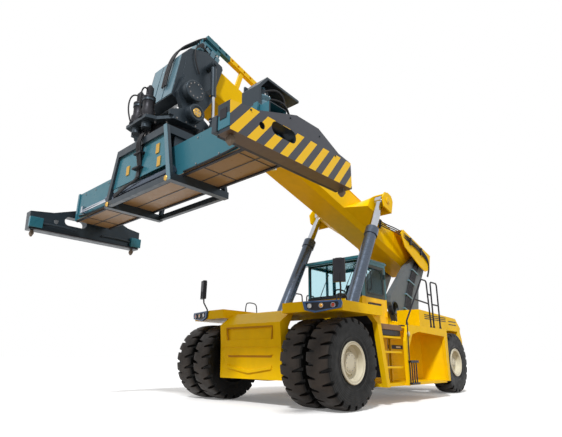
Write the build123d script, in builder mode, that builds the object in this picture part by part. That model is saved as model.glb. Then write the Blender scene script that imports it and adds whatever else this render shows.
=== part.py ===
"""Reach stacker: a counterbalanced telescopic-boom handler for shipping containers.

Millimetres. X points forward, Y to the machine's left and Z up; the origin is on the
ground below the middle of the machine, measured over all its parts. The boom stands
16.3 degrees above level with its telescope in, and the spreader is at its rest width,
a little wider than a 20 ft container.
"""
from build123d import *
from math import atan2, cos, degrees, hypot, radians, sin
import os

os.makedirs("parts", exist_ok=True)

# ---------------------------------------------------------------- driving dimensions
WHEELBASE = 6000
FRONT_AXLE_X = 1630
REAR_AXLE_X = FRONT_AXLE_X - WHEELBASE

# 18.00-25 lug tyres
TYRE_R = 800
TYRE_W = 500
TYRE_BORE_R = 335
TYRE_BEAD_W = 430
RIM_FLANGE_R = 368
RIM_FLANGE_T = 20
RIM_WALL = 22
TWIN_PITCH = 600
FRONT_TRACK = 3140
REAR_TRACK = 2660
HUB_R = 235
SPINDLE_R = 120
AXLE_ARM_R = 180
AXLE_SEAT_Z = 1000
AXLE_SEAT_Y = 600
RUN_FIT = 0.3
KINGPIN_Y = 1030
KINGPIN_R = 45
FORK_HALF_X = 100

# chassis
GIRDER_Y = 400
GIRDER_T = 60
FRAME_TOP = 1450
FRAME_BOTTOM = 520
AXLE_CLEAR = 240
NOSE_FRONT_X = FRONT_AXLE_X + 560
NOSE_HALF_W = 870
NOSE_T = 200
FENDER_OUT_Y = 2130
FENDER_TOP = 1880
DECK_TOP = 1560
DECK_T = 40
ARCH_TOP = 1600
ARCH_T = 70
RAIL_TOP = 2730
SILL_BOTTOM = 340
SIDE_Y = 2030
HOOD_HALF_W = 1300
HOOD_TOP = 2160
HOOD_BOTTOM = 1690
TAIL_X = -5720
COUNTER_T = 350

# boom: pivot, rest angle and sections, in its own u (along) and v (up) directions
PIVOT_X = -4670
PIVOT_Z = 3850
BOOM_ANGLE = 16.3
BOOM_HALF_W = 450
BOOM_TOP_V = 340
BOOM_BOTTOM_V = -430
BOOM_REAR_U = -330
BOOM_FRONT_U = 7550
BOOM_PLATE = 30
BOOM_CHAMFER = 120
INNER_GAP = 25
INNER_REAR_U = 160
HEAD_U = 9640
HEAD_TOP_V = 345
SLIDE_FIT = 0.3
POST_IN_Y = 475
POST_T = 170

# lift cylinders
LIFT_Y = 1030
LIFT_BASE_X = 680
LIFT_BASE_Z = 850
LIFT_EYE_U = 3264
LIFT_EYE_V = 223
LIFT_BARREL_R = 150
LIFT_ROD_R = 105
LIFT_BARREL_L = 3690
LIFT_NECK_L = 230
LIFT_GLAND_L = 90
LIFT_ROD_L = 3580
LIFT_PISTON_L = 60
LIFT_EYE_W = 190
LIFT_EYE_R = 130
LIFT_PIN_R = 60
LIFT_GLAND_R = 172
HOOD_OUT_Y = 1250
HOOD_ROOF = 210
HOOD_REAR = 285
HOOD_BOTTOM_V = -60
EAR_IN_Y = 850
HOOD_PLATE = 36

# damping cylinders between the head and the rotator
DAMPER_Y = 660
DAMPER_R = 55
DAMPER_ROD_R = 30
DAMPER_TOP_X = 4020
DAMPER_TOP_Z = 6390
DAMPER_FOOT_X = 3960
DAMPER_FOOT_Z = 5180
DAMPER_BARREL_L = 700

# rotator and spreader
SWING_X = 4430
SWING_Z = 5080
HEAD_LUG_Y = 470
HEAD_LUG_T = 110
EAR_Y = 600
EAR_T = 60
SWING_PIN_R = 70
SWING_LUG_R = 145
SLEW_R = 520
SLEW_HUB_R = 420
ROTATOR_Z = 4860
ROTATOR_T = 60
SHIFT_FRAME_TOP = 4600
SHIFT_TOP_HALF_Y = 820
SHIFT_FOOT_HALF_Y = 1080
BEAM_TOP = 4260
BEAM_BOTTOM = 3670
BEAM_HALF_W = 400
MAIN_HALF_L = 2800
MAIN_WALL = 20
SHIFTER_X = 475
SHIFTER_Z = 3770
SHIFTER_R = 60
SHIFTER_ROD_R = 32
SHIFTER_EYE_Y = 2250
SLIDE_GAP = 12
HALF_LENGTH = 3100
LOCK_PITCH = 2259
END_T = 220
END_BOTTOM = 3350
BEAM_L = 5380
BEAM_WALL = 16
LOCK_TIP = 3220
LOCK_SHAFT_R = 32

# cab
CAB_FRONT_X = -770
CAB_REAR_X = -1960
CAB_HALF_W = 840
CAB_FLOOR = 1580
CAB_WAIST = 2350
CAB_EAVES = 3270
CAB_ROOF = 3350
CAB_WALL = 50
DOOR_FRONT_X = -930
DOOR_REAR_X = -1890
DOOR_GAP = 6
HINGE_X = -1898
HINGE_Y = 856
HINGE_LOW_Z = 1900
HINGE_HIGH_Z = 2900
HINGE_PIN_R = 8

SIDES = (("left", 1), ("right", -1))


def across(y_a, y_b, sign=1):
    """Side-profile plane from which extrude(y_b - y_a) fills y_a..y_b on that side."""
    return Plane.XZ.offset(-max(sign * y_a, sign * y_b))


boom_plane = Plane(
    origin=(PIVOT_X, 0, PIVOT_Z),
    x_dir=(cos(radians(BOOM_ANGLE)), 0, sin(radians(BOOM_ANGLE))),
    z_dir=(0, -1, 0),
)


def boom_across(y_a, y_b, sign=1):
    """The same as across, in the boom's own u and v."""
    return boom_plane.offset(-max(sign * y_a, sign * y_b))


def boom_point(u, y, v):
    """World position of a point of the boom."""
    return boom_plane.from_local_coords(Vector(u, v, -y))


def boom_section(u):
    """Plane across the boom at u: local x is the machine's left, local y is boom up."""
    return Plane(
        origin=boom_point(u, 0, 0),
        x_dir=(0, 1, 0),
        z_dir=(cos(radians(BOOM_ANGLE)), 0, sin(radians(BOOM_ANGLE))),
    )


def y_cylinder_plane(x, y, z):
    """Plane whose normal is +Y, for discs and bosses on a cross pin."""
    return Plane(origin=(x, y, z), x_dir=(1, 0, 0), z_dir=(0, 1, 0))


# ---------------------------------------------------------------- wheels
def tyre_profile(y_mid):
    """Half section of a tyre about a Y axis, as (y, radius) points."""
    half, bead = TYRE_W / 2, TYRE_BEAD_W / 2
    return [
        (y_mid - bead, TYRE_BORE_R),
        (y_mid + bead, TYRE_BORE_R),
        (y_mid + bead, RIM_FLANGE_R + 6),
        (y_mid + bead + 20, RIM_FLANGE_R + 30),
        (y_mid + half, TYRE_BORE_R + 190),
        (y_mid + half, TYRE_R - 90),
        (y_mid + half - 45, TYRE_R),
        (y_mid - half + 45, TYRE_R),
        (y_mid - half, TYRE_R - 90),
        (y_mid - half, TYRE_BORE_R + 190),
        (y_mid - bead - 20, RIM_FLANGE_R + 30),
        (y_mid - bead, RIM_FLANGE_R + 6),
    ]


def axle_section(x):
    """Plane through an axle, for sections revolved about it: local x is Y, y is Z."""
    return Plane(origin=(x, 0, TYRE_R), x_dir=(0, 1, 0), z_dir=(1, 0, 0))


def axle_axis(x):
    return Axis((x, 0, TYRE_R), (0, 1, 0))


for side, sign in SIDES:
    inner_y = FRONT_TRACK / 2 - TWIN_PITCH / 2
    outer_y = FRONT_TRACK / 2 + TWIN_PITCH / 2
    with BuildPart() as twin_tyres:
        for y_mid in (inner_y, outer_y):
            with BuildSketch(axle_section(FRONT_AXLE_X)):
                with BuildLine():
                    Polyline(*[(sign * y, r) for y, r in tyre_profile(y_mid)], close=True)
                make_face()
            revolve(axis=axle_axis(FRONT_AXLE_X))
    twin_tyres.part.label = f"tyres_front_{side}"
    export_step(twin_tyres.part, f"parts/tyres_front_{side}.step")

    seat_r = TYRE_BORE_R - 0.5
    bead = TYRE_BEAD_W / 2 + 0.5
    hub_face = outer_y + 90
    with BuildPart() as twin_rim:
        with BuildSketch(axle_section(FRONT_AXLE_X)):
            with BuildLine():
                Polyline(
                    *[
                        (sign * y, r)
                        for y, r in [
                            (inner_y - bead - RIM_FLANGE_T, RIM_FLANGE_R),
                            (inner_y - bead, RIM_FLANGE_R),
                            (inner_y - bead, seat_r),
                            (inner_y + bead, seat_r),
                            (inner_y + bead, RIM_FLANGE_R),
                            (inner_y + bead + RIM_FLANGE_T, RIM_FLANGE_R),
                            (inner_y + bead + RIM_FLANGE_T, seat_r),
                            (outer_y - bead - RIM_FLANGE_T, seat_r),
                            (outer_y - bead - RIM_FLANGE_T, RIM_FLANGE_R),
                            (outer_y - bead, RIM_FLANGE_R),
                            (outer_y - bead, seat_r),
                            (outer_y + bead, seat_r),
                            (outer_y + bead, RIM_FLANGE_R),
                            (outer_y + bead + RIM_FLANGE_T, RIM_FLANGE_R),
                            (outer_y + bead + RIM_FLANGE_T, seat_r - RIM_WALL),
                            (outer_y + 120, seat_r - RIM_WALL),
                            (hub_face, HUB_R + 30),
                            (hub_face, HUB_R - 25),
                            (hub_face + 60, HUB_R - 45),
                            (hub_face + 60, 0),
                            (inner_y + 60, 0),
                            (inner_y + 60, SPINDLE_R + RUN_FIT),
                            (inner_y - bead + 40, SPINDLE_R + RUN_FIT),
                            (inner_y - bead + 40, HUB_R),
                            (inner_y + 170, HUB_R),
                            (inner_y + 200, seat_r - RIM_WALL),
                            (inner_y - bead - RIM_FLANGE_T, seat_r - RIM_WALL),
                        ]
                    ],
                    close=True,
                )
            make_face()
        revolve(axis=axle_axis(FRONT_AXLE_X))
    twin_rim.part.label = f"rim_front_{side}"
    export_step(twin_rim.part, f"parts/rim_front_{side}.step")

    rear_y = REAR_TRACK / 2
    with BuildPart() as rear_tyre:
        with BuildSketch(axle_section(REAR_AXLE_X)):
            with BuildLine():
                Polyline(*[(sign * y, r) for y, r in tyre_profile(rear_y)], close=True)
            make_face()
        revolve(axis=axle_axis(REAR_AXLE_X))
    rear_tyre.part.label = f"tyre_rear_{side}"
    export_step(rear_tyre.part, f"parts/tyre_rear_{side}.step")

    rear_hub_face = rear_y + 90
    with BuildPart() as rear_rim:
        with BuildSketch(axle_section(REAR_AXLE_X)):
            with BuildLine():
                Polyline(
                    *[
                        (sign * y, r)
                        for y, r in [
                            (rear_y - bead - RIM_FLANGE_T, RIM_FLANGE_R),
                            (rear_y - bead, RIM_FLANGE_R),
                            (rear_y - bead, seat_r),
                            (rear_y + bead, seat_r),
                            (rear_y + bead, RIM_FLANGE_R),
                            (rear_y + bead + RIM_FLANGE_T, RIM_FLANGE_R),
                            (rear_y + bead + RIM_FLANGE_T, seat_r - RIM_WALL),
                            (rear_y + 120, seat_r - RIM_WALL),
                            (rear_hub_face, HUB_R + 30),
                            (rear_hub_face, 150),
                            (rear_hub_face + 50, 130),
                            (rear_hub_face + 50, 0),
                            (rear_y + 40, 0),
                            (rear_y + 40, SPINDLE_R - 35 + RUN_FIT),
                            (rear_y - 110, SPINDLE_R - 35 + RUN_FIT),
                            (rear_y - 110, 165),
                            (rear_y + 20, 165),
                            (rear_y + 50, seat_r - RIM_WALL),
                            (rear_y - bead - RIM_FLANGE_T, seat_r - RIM_WALL),
                        ]
                    ],
                    close=True,
                )
            make_face()
        revolve(axis=axle_axis(REAR_AXLE_X))
    rear_rim.part.label = f"rim_rear_{side}"
    export_step(rear_rim.part, f"parts/rim_rear_{side}.step")

    # swivel knuckle: kingpin barrel between the axle's fork and the stub spindle
    with BuildPart() as knuckle:
        with BuildSketch(Plane.XY.offset(TYRE_R - 125)):
            with Locations((REAR_AXLE_X, sign * KINGPIN_Y)):
                Circle(110)
        extrude(amount=250)
        with BuildSketch(Plane.XY.offset(TYRE_R - 195)):
            with Locations((REAR_AXLE_X, sign * KINGPIN_Y)):
                Circle(KINGPIN_R)
        extrude(amount=390)
        with BuildSketch(axle_section(REAR_AXLE_X)):
            with BuildLine():
                Polyline(
                    *[
                        (sign * y, r)
                        for y, r in [
                            (KINGPIN_Y + 20, 0),
                            (KINGPIN_Y + 20, 100),
                            (rear_y - 150, 116),
                            (rear_y - 150, 155),
                            (rear_y - 118, 155),
                            (rear_y - 118, SPINDLE_R - 35),
                            (rear_y + 30, SPINDLE_R - 35),
                            (rear_y + 30, 0),
                        ]
                    ],
                    close=True,
                )
            make_face()
        revolve(axis=axle_axis(REAR_AXLE_X))
        # steering arm pointing forward
        with BuildSketch(Plane.XY.offset(TYRE_R - 30)):
            with BuildLine():
                Polyline(
                    (REAR_AXLE_X + 40, sign * (KINGPIN_Y + 22)),
                    (REAR_AXLE_X + 250, sign * (KINGPIN_Y + 18)),
                    (REAR_AXLE_X + 250, sign * (KINGPIN_Y - 18)),
                    (REAR_AXLE_X + 40, sign * (KINGPIN_Y - 22)),
                    close=True,
                )
            make_face()
        extrude(amount=50)
    knuckle.part.label = f"knuckle_{side}"
    export_step(knuckle.part, f"parts/knuckle_{side}.step")

# ---------------------------------------------------------------- axles
with BuildPart() as front_axle:
    with BuildSketch(axle_section(FRONT_AXLE_X)):
        with BuildLine():
            Polyline(
                (-inner_y - 50, 0),
                (-inner_y - 50, SPINDLE_R),
                (-inner_y + 190, SPINDLE_R),
                (-inner_y + 190, 225),
                (-inner_y + 300, 250),
                (-inner_y + 420, AXLE_ARM_R),
                (-330, AXLE_ARM_R),
                (-250, 320),
                (250, 320),
                (330, AXLE_ARM_R),
                (inner_y - 420, AXLE_ARM_R),
                (inner_y - 300, 250),
                (inner_y - 190, 225),
                (inner_y - 190, SPINDLE_R),
                (inner_y + 50, SPINDLE_R),
                (inner_y + 50, 0),
                close=True,
            )
        make_face()
    revolve(axis=axle_axis(FRONT_AXLE_X))
    # saddles under the frame's seat pads
    with Locations(*[(FRONT_AXLE_X, sign * AXLE_SEAT_Y, AXLE_SEAT_Z - 50) for side, sign in SIDES]):
        Box(300, 280, 100)
front_axle.part.label = "front_axle"
export_step(front_axle.part, "parts/front_axle.step")

with BuildPart() as rear_axle:
    with BuildSketch(Plane.YZ.offset(REAR_AXLE_X - 190)):
        with BuildLine():
            Polyline(
                (-820, TYRE_R - 190),
                (820, TYRE_R - 190),
                (1120, TYRE_R - 190),
                (1120, TYRE_R - 130),
                (880, TYRE_R - 130),
                (880, TYRE_R + 130),
                (1120, TYRE_R + 130),
                (1120, TYRE_R + 190),
                (820, TYRE_R + 190),
                (300, TYRE_R + 150),
                (-300, TYRE_R + 150),
                (-820, TYRE_R + 190),
                (-1120, TYRE_R + 190),
                (-1120, TYRE_R + 130),
                (-880, TYRE_R + 130),
                (-880, TYRE_R - 130),
                (-1120, TYRE_R - 130),
                (-1120, TYRE_R - 190),
                close=True,
            )
        make_face()
    extrude(amount=380)
    # drawn in towards the forks so that the knuckles swing clear
    with BuildSketch(Plane.XY.offset(TYRE_R - 200)):
        with BuildLine():
            Polyline(
                (REAR_AXLE_X - 190, -600),
                (REAR_AXLE_X - FORK_HALF_X, -800),
                (REAR_AXLE_X - FORK_HALF_X, -1120),
                (REAR_AXLE_X + FORK_HALF_X, -1120),
                (REAR_AXLE_X + FORK_HALF_X, -800),
                (REAR_AXLE_X + 190, -600),
                (REAR_AXLE_X + 190, 600),
                (REAR_AXLE_X + FORK_HALF_X, 800),
                (REAR_AXLE_X + FORK_HALF_X, 1120),
                (REAR_AXLE_X - FORK_HALF_X, 1120),
                (REAR_AXLE_X - FORK_HALF_X, 800),
                (REAR_AXLE_X - 190, 600),
                close=True,
            )
        make_face()
    extrude(amount=400, mode=Mode.INTERSECT)
    # bores for the kingpins
    with BuildSketch(Plane.XY.offset(TYRE_R - 200)):
        with Locations((REAR_AXLE_X, KINGPIN_Y), (REAR_AXLE_X, -KINGPIN_Y)):
            Circle(KINGPIN_R + RUN_FIT)
    extrude(amount=400, mode=Mode.SUBTRACT)
rear_axle.part.label = "rear_axle"
export_step(rear_axle.part, "parts/rear_axle.step")

# ---------------------------------------------------------------- chassis frame
axle_arch_x = (REAR_AXLE_X - AXLE_CLEAR - 120, REAR_AXLE_X + AXLE_CLEAR + 120)
with BuildPart() as chassis_frame:
    for side, sign in SIDES:
        with BuildSketch(across(GIRDER_Y, GIRDER_Y + GIRDER_T, sign)):
            with BuildLine():
                Polyline(
                    (NOSE_FRONT_X - NOSE_T, 1010),
                    (NOSE_FRONT_X - NOSE_T, FRAME_TOP),
                    (TAIL_X + COUNTER_T, FRAME_TOP),
                    (TAIL_X + COUNTER_T, 620),
                    (axle_arch_x[0], 620),
                    (axle_arch_x[0] + 90, TYRE_R + 210),
                    (axle_arch_x[1] - 90, TYRE_R + 210),
                    (axle_arch_x[1], FRAME_BOTTOM),
                    (FRONT_AXLE_X - 620, FRAME_BOTTOM),
                    (FRONT_AXLE_X - 460, 1010),
                    close=True,
                )
            make_face()
        extrude(amount=GIRDER_T)
        # outrigger carrying the lift cylinder's foot
        with BuildSketch(across(GIRDER_Y + GIRDER_T, LIFT_Y - LIFT_EYE_W / 2 - 70, sign)):
            with BuildLine():
                Polyline(
                    (LIFT_BASE_X - 450, FRAME_BOTTOM + 60),
                    (LIFT_BASE_X + 120, FRAME_BOTTOM + 60),
                    (LIFT_BASE_X + 330, FRAME_TOP - 120),
                    (LIFT_BASE_X + 330, FRAME_TOP),
                    (LIFT_BASE_X - 450, FRAME_TOP),
                    close=True,
                )
            make_face()
        extrude(amount=LIFT_Y - LIFT_EYE_W / 2 - 70 - GIRDER_Y - GIRDER_T)
        # foot ears either side of the barrel's eye, joined below it
        for y_a in (LIFT_Y - LIFT_EYE_W / 2 - 70, LIFT_Y + LIFT_EYE_W / 2 + 10):
            with BuildSketch(across(y_a, y_a + 60, sign)):
                with BuildLine():
                    Polyline(
                        (LIFT_BASE_X - 300, FRAME_BOTTOM + 60),
                        (LIFT_BASE_X + 60, FRAME_BOTTOM + 60),
                        (LIFT_BASE_X + 120, LIFT_BASE_Z - 60),
                        (LIFT_BASE_X + 120, LIFT_BASE_Z + 60),
                        (LIFT_BASE_X + 40, LIFT_BASE_Z + 120),
                        (LIFT_BASE_X - 60, LIFT_BASE_Z + 120),
                        (LIFT_BASE_X - 300, LIFT_BASE_Z - 80),
                        close=True,
                    )
                make_face()
            extrude(amount=60)
        with Locations((LIFT_BASE_X - 120, sign * LIFT_Y, FRAME_BOTTOM + 90)):
            Box(360, LIFT_EYE_W + 20, 60)
        with BuildSketch(y_cylinder_plane(LIFT_BASE_X, sign * LIFT_Y, LIFT_BASE_Z)):
            Circle(LIFT_PIN_R)
        extrude(amount=LIFT_EYE_W / 2 + 90, both=True)
        # axle seat pads under the front frame
        with Locations((FRONT_AXLE_X, sign * AXLE_SEAT_Y, AXLE_SEAT_Z + 75)):
            Box(300, 280, 150)
    # cross members: (x middle, length, z middle, height)
    for x_mid, length, z_mid, height in (
        (FRONT_AXLE_X + 280, 120, 1250, 400),
        (FRONT_AXLE_X, 420, 1300, 300),
        (FRONT_AXLE_X - 900, 500, 985, 930),
        (-900, 200, 985, 700),
        (-2300, 120, 985, 700),
        (-3900, 100, 1230, 400),
        (REAR_AXLE_X, 300, 1230, 440),
        (TAIL_X + 520, 200, 1000, 700),
    ):
        with Locations((x_mid, 0, z_mid)):
            Box(length, 2 * GIRDER_Y, height)
    # trunnion block seating the rear axle
    with Locations((REAR_AXLE_X, 0, TYRE_R + 180)):
        Box(300, 300, 60)
chassis_frame.part.label = "chassis_frame"
export_step(chassis_frame.part, "parts/chassis_frame.step")

# ---------------------------------------------------------------- nose and fenders
with BuildPart() as nose:
    with BuildSketch(across(-NOSE_HALF_W, NOSE_HALF_W)):
        with BuildLine():
            Polyline(
                (NOSE_FRONT_X - 20, 470),
                (NOSE_FRONT_X, 1080),
                (NOSE_FRONT_X + 40, 1530),
                (NOSE_FRONT_X - 310, 1780),
                (NOSE_FRONT_X - 1500, 1780),
                (NOSE_FRONT_X - 1500, 1690),
                (NOSE_FRONT_X - 340, 1690),
                (NOSE_FRONT_X - NOSE_T, FRAME_TOP),
                (NOSE_FRONT_X - NOSE_T, 520),
                (NOSE_FRONT_X - 170, 470),
                close=True,
            )
        make_face()
    extrude(amount=2 * NOSE_HALF_W)
    # recessed upper pocket and lower groove
    with BuildSketch(Plane.YZ.offset(NOSE_FRONT_X - 10)):
        with Locations((0, 1345)):
            Rectangle(1360, 250)
        with Locations((0, 900)):
            Rectangle(1420, 45)
        with BuildLine():
            Polyline((-620, 700), (620, 700), (620, 640), (0, 570), (-620, 640), close=True)
        make_face()
    extrude(amount=200, mode=Mode.SUBTRACT)
nose.part.label = "nose"
export_step(nose.part, "parts/nose.step")

lamp_x_in, lamp_x_out = FRONT_AXLE_X + 530, FRONT_AXLE_X + 330
lamp_y_in, lamp_y_out = 1380, FENDER_OUT_Y
leg_top_x, leg_foot_x = 600, 340

# the fender: a thick cap over the twin wheels, swept back at its front, and a leg behind
with BuildPart() as fenders:
    for side, sign in SIDES:
        with BuildSketch(Plane.XY.offset(FENDER_TOP - 190)):
            with BuildLine():
                Polyline(
                    (NOSE_FRONT_X - 20, sign * NOSE_HALF_W),
                    (lamp_x_in, sign * lamp_y_in),
                    (lamp_x_out, sign * lamp_y_out),
                    (leg_top_x - 20, sign * FENDER_OUT_Y),
                    (leg_top_x - 20, sign * (LIFT_Y + 240)),
                    (leg_top_x + 300, sign * NOSE_HALF_W),
                    close=True,
                )
            make_face()
        extrude(amount=190)
        with BuildSketch(across(SIDE_Y - 90, SIDE_Y + 20, sign)):
            with BuildLine():
                Polyline(
                    (leg_top_x + 260, FENDER_TOP - 20),
                    (leg_top_x - 20, FENDER_TOP),
                    (leg_foot_x - 60, SILL_BOTTOM),
                    (leg_foot_x + 60, SILL_BOTTOM),
                    (leg_top_x + 60, FENDER_TOP - 320),
                    (leg_top_x + 260, FENDER_TOP - 190),
                    close=True,
                )
            make_face()
        extrude(amount=110)
fenders.part.label = "fenders"
export_step(fenders.part, "parts/fenders.step")

# black liner behind the twin wheels
with BuildPart() as arch_liners:
    for side, sign in SIDES:
        with BuildSketch(across(NOSE_HALF_W + 340, SIDE_Y - 90, sign)):
            with BuildLine():
                Polyline(
                    (leg_top_x + 200, FENDER_TOP - 190),
                    (leg_top_x - 10, FENDER_TOP - 190),
                    (leg_foot_x + 20, 520),
                    (leg_foot_x + 60, 520),
                    (leg_top_x + 40, FENDER_TOP - 330),
                    close=True,
                )
            make_face()
        extrude(amount=SIDE_Y - 90 - NOSE_HALF_W - 340)
arch_liners.part.label = "arch_liners"
export_step(arch_liners.part, "parts/arch_liners.step")

# lamp cluster: a bevelled housing following the fender's swept front, three round lenses
with BuildPart() as lamp_clusters:
    for side, sign in SIDES:
        along = Vector(lamp_x_out - lamp_x_in, sign * (lamp_y_out - lamp_y_in), 0)
        lamp_plane = Plane(
            origin=((lamp_x_in + lamp_x_out) / 2, sign * (lamp_y_in + lamp_y_out) / 2, FENDER_TOP - 105),
            x_dir=along,
            z_dir=Vector(sign * along.Y, -sign * along.X, 0),
        )
        lamp_half = along.length / 2
        with BuildSketch(lamp_plane):
            with BuildLine():
                Polyline(
                    (-lamp_half + 20, 95 * sign),
                    (lamp_half - 20, 95 * sign),
                    (lamp_half, 40 * sign),
                    (lamp_half - 30, -40 * sign),
                    (-lamp_half / 3, -110 * sign),
                    (-lamp_half + 60, -60 * sign),
                    close=True,
                )
            make_face()
        extrude(amount=45)
        with BuildSketch(lamp_plane.offset(45)):
            with Locations((-230, 10 * sign), (0, 10 * sign), (230, 10 * sign)):
                Circle(52)
        extrude(amount=12)
lamp_clusters.part.label = "lamp_clusters"
export_step(lamp_clusters.part, "parts/lamp_clusters.step")

# ---------------------------------------------------------------- carrier body
arch_front_x, arch_rear_x = -560, -2790
with BuildPart() as deck:
    for side, sign in SIDES:
        with BuildSketch(Plane.XY.offset(DECK_TOP - DECK_T)):
            with BuildLine():
                Polyline(
                    (390, sign * (LIFT_Y + 240)),
                    (390, sign * (SIDE_Y - 90)),
                    (arch_front_x + 20, sign * (SIDE_Y - 90)),
                    (arch_front_x + 20, sign * (SIDE_Y - ARCH_T)),
                    (-2700, sign * (SIDE_Y - ARCH_T)),
                    (-2700, sign * (GIRDER_Y + GIRDER_T + 250)),
                    (-60, sign * (GIRDER_Y + GIRDER_T + 250)),
                    (-60, sign * (LIFT_Y + 240)),
                    close=True,
                )
            make_face()
        extrude(amount=DECK_T)
deck.part.label = "deck"
export_step(deck.part, "parts/deck.step")

# tank and valve cabinet set back under the deck, with sill and rear panel
with BuildPart() as side_boxes:
    for side, sign in SIDES:
        with BuildSketch(Plane.XY.offset(SILL_BOTTOM + 60)):
            with BuildLine():
                Polyline(
                    (-300, sign * (GIRDER_Y + GIRDER_T)),
                    (-300, sign * 1320),
                    (arch_rear_x + 420, sign * 1320),
                    (arch_rear_x + 300, sign * 1440),
                    (arch_rear_x + 160, sign * (SIDE_Y - ARCH_T)),
                    (arch_rear_x + 110, sign * (SIDE_Y - ARCH_T)),
                    (arch_rear_x + 110, sign * (GIRDER_Y + GIRDER_T)),
                    close=True,
                )
            make_face()
        extrude(amount=DECK_TOP - DECK_T - SILL_BOTTOM - 60)
        with BuildSketch(Plane.XY.offset(SILL_BOTTOM)):
            with BuildLine():
                Polyline(
                    (leg_foot_x + 40, sign * 1200),
                    (leg_foot_x + 40, sign * (SIDE_Y - 90)),
                    (arch_front_x + 20, sign * (SIDE_Y - 90)),
                    (arch_front_x + 20, sign * (SIDE_Y - ARCH_T)),
                    (arch_rear_x + 110, sign * (SIDE_Y - ARCH_T)),
                    (arch_rear_x + 110, sign * 1200),
                    close=True,
                )
            make_face()
        extrude(amount=60)
side_boxes.part.label = "side_boxes"
export_step(side_boxes.part, "parts/side_boxes.step")

# outer arch: front leg, top rail and rear leg in one plate
with BuildPart() as side_arches:
    for side, sign in SIDES:
        with BuildSketch(across(SIDE_Y - ARCH_T, SIDE_Y, sign)):
            with BuildLine():
                Polyline(
                    (arch_front_x - 40, SILL_BOTTOM),
                    (arch_front_x + 20, SILL_BOTTOM),
                    (arch_front_x + 20, 1250),
                    (arch_front_x - 120, ARCH_TOP),
                    (arch_rear_x + 20, ARCH_TOP),
                    (arch_rear_x + 60, SILL_BOTTOM + 40),
                    (arch_rear_x + 170, SILL_BOTTOM + 40),
                    (arch_rear_x + 200, 1420),
                    (arch_front_x - 620, 1470),
                    (arch_front_x - 300, 1400),
                    (arch_front_x - 110, 1120),
                    close=True,
                )
            make_face()
        extrude(amount=ARCH_T)
side_arches.part.label = "side_arches"
export_step(side_arches.part, "parts/side_arches.step")

# access ladder between the fender's leg and the arch
with BuildPart() as ladders:
    for side, sign in SIDES:
        for z in (710, 1010, 1310):
            with Locations(((arch_front_x + leg_foot_x) / 2 + 10, sign * (SIDE_Y - 200), z)):
                Box(leg_foot_x - arch_front_x - 150, 240, 40)
        for x in (arch_front_x + 105, leg_foot_x - 85):
            with Locations((x, sign * (SIDE_Y - 345), (SILL_BOTTOM + 60 + DECK_TOP - DECK_T) / 2)):
                Box(40, 50, DECK_TOP - DECK_T - SILL_BOTTOM - 60)
ladders.part.label = "ladders"
export_step(ladders.part, "parts/ladders.step")

# handrail: two hoops and a front slope, bent from tube
with BuildPart() as handrails:
    for side, sign in SIDES:
        rail_y = sign * (SIDE_Y - 35)
        rail_routes = (
            (
                (arch_front_x - 150, rail_y, ARCH_TOP),
                (arch_front_x - 150, rail_y, ARCH_TOP + 90),
                (arch_front_x - 1050, rail_y, RAIL_TOP),
                (arch_front_x - 1330, rail_y, RAIL_TOP),
                (arch_front_x - 1395, rail_y, ARCH_TOP + 120),
                (arch_front_x - 1395, rail_y, ARCH_TOP),
            ),
            (
                (arch_front_x - 1560, rail_y, ARCH_TOP),
                (arch_front_x - 1560, rail_y, RAIL_TOP),
                (arch_front_x - 1930, rail_y, RAIL_TOP),
                (arch_front_x - 1930, rail_y, ARCH_TOP),
            ),
            ((arch_front_x - 600, rail_y, 2210), (arch_front_x - 1365, rail_y, 2170)),
            ((arch_front_x - 1560, rail_y, 2170), (arch_front_x - 1930, rail_y, 2170)),
            ((arch_front_x - 1350, rail_y, 2400), (arch_front_x - 1560, rail_y, 2400)),
        )
        for route in rail_routes:
            with BuildLine() as path:
                if len(route) > 2:
                    FilletPolyline(*route, radius=70)
                else:
                    Line(*route)
            with BuildSketch(Plane(origin=path.wires()[0] @ 0, z_dir=path.wires()[0] % 0)):
                Circle(19)
            sweep(path=path.wires()[0])
handrails.part.label = "handrails"
export_step(handrails.part, "parts/handrails.step")

# engine hood behind the posts, tapering down to the tail
hood_front_x = -2830
with BuildPart() as hood:
    with BuildSketch(across(-HOOD_HALF_W, HOOD_HALF_W)):
        with BuildLine():
            Polyline(
                (hood_front_x, HOOD_BOTTOM),
                (hood_front_x, HOOD_TOP),
                (TAIL_X + 430, HOOD_TOP - 90),
                (TAIL_X + 110, 1800),
                (TAIL_X + 150, HOOD_BOTTOM),
                close=True,
            )
        make_face()
    extrude(amount=2 * HOOD_HALF_W)
    # slots that the boom posts stand in
    for side, sign in SIDES:
        with Locations((-3400, sign * (POST_IN_Y + POST_T / 2), 1900)):
            Box(1900, POST_T + 12, 700, mode=Mode.SUBTRACT)
    # walls down to the frame between the rear wheels
    with Locations((-4085, 0, (FRAME_TOP + HOOD_BOTTOM) / 2)):
        Box(2500, 2 * (GIRDER_Y + GIRDER_T), HOOD_BOTTOM - FRAME_TOP)
hood.part.label = "hood"
export_step(hood.part, "parts/hood.step")

with BuildPart() as engine:
    with Locations((-3100, 0, 1060)):
        Box(1250, 700, 760)
    # mounting feet on the girders
    with Locations((-3520, 0, 1100), (-2680, 0, 1100)):
        Box(120, 2 * GIRDER_Y, 120)
engine.part.label = "engine"
export_step(engine.part, "parts/engine.step")

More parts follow.
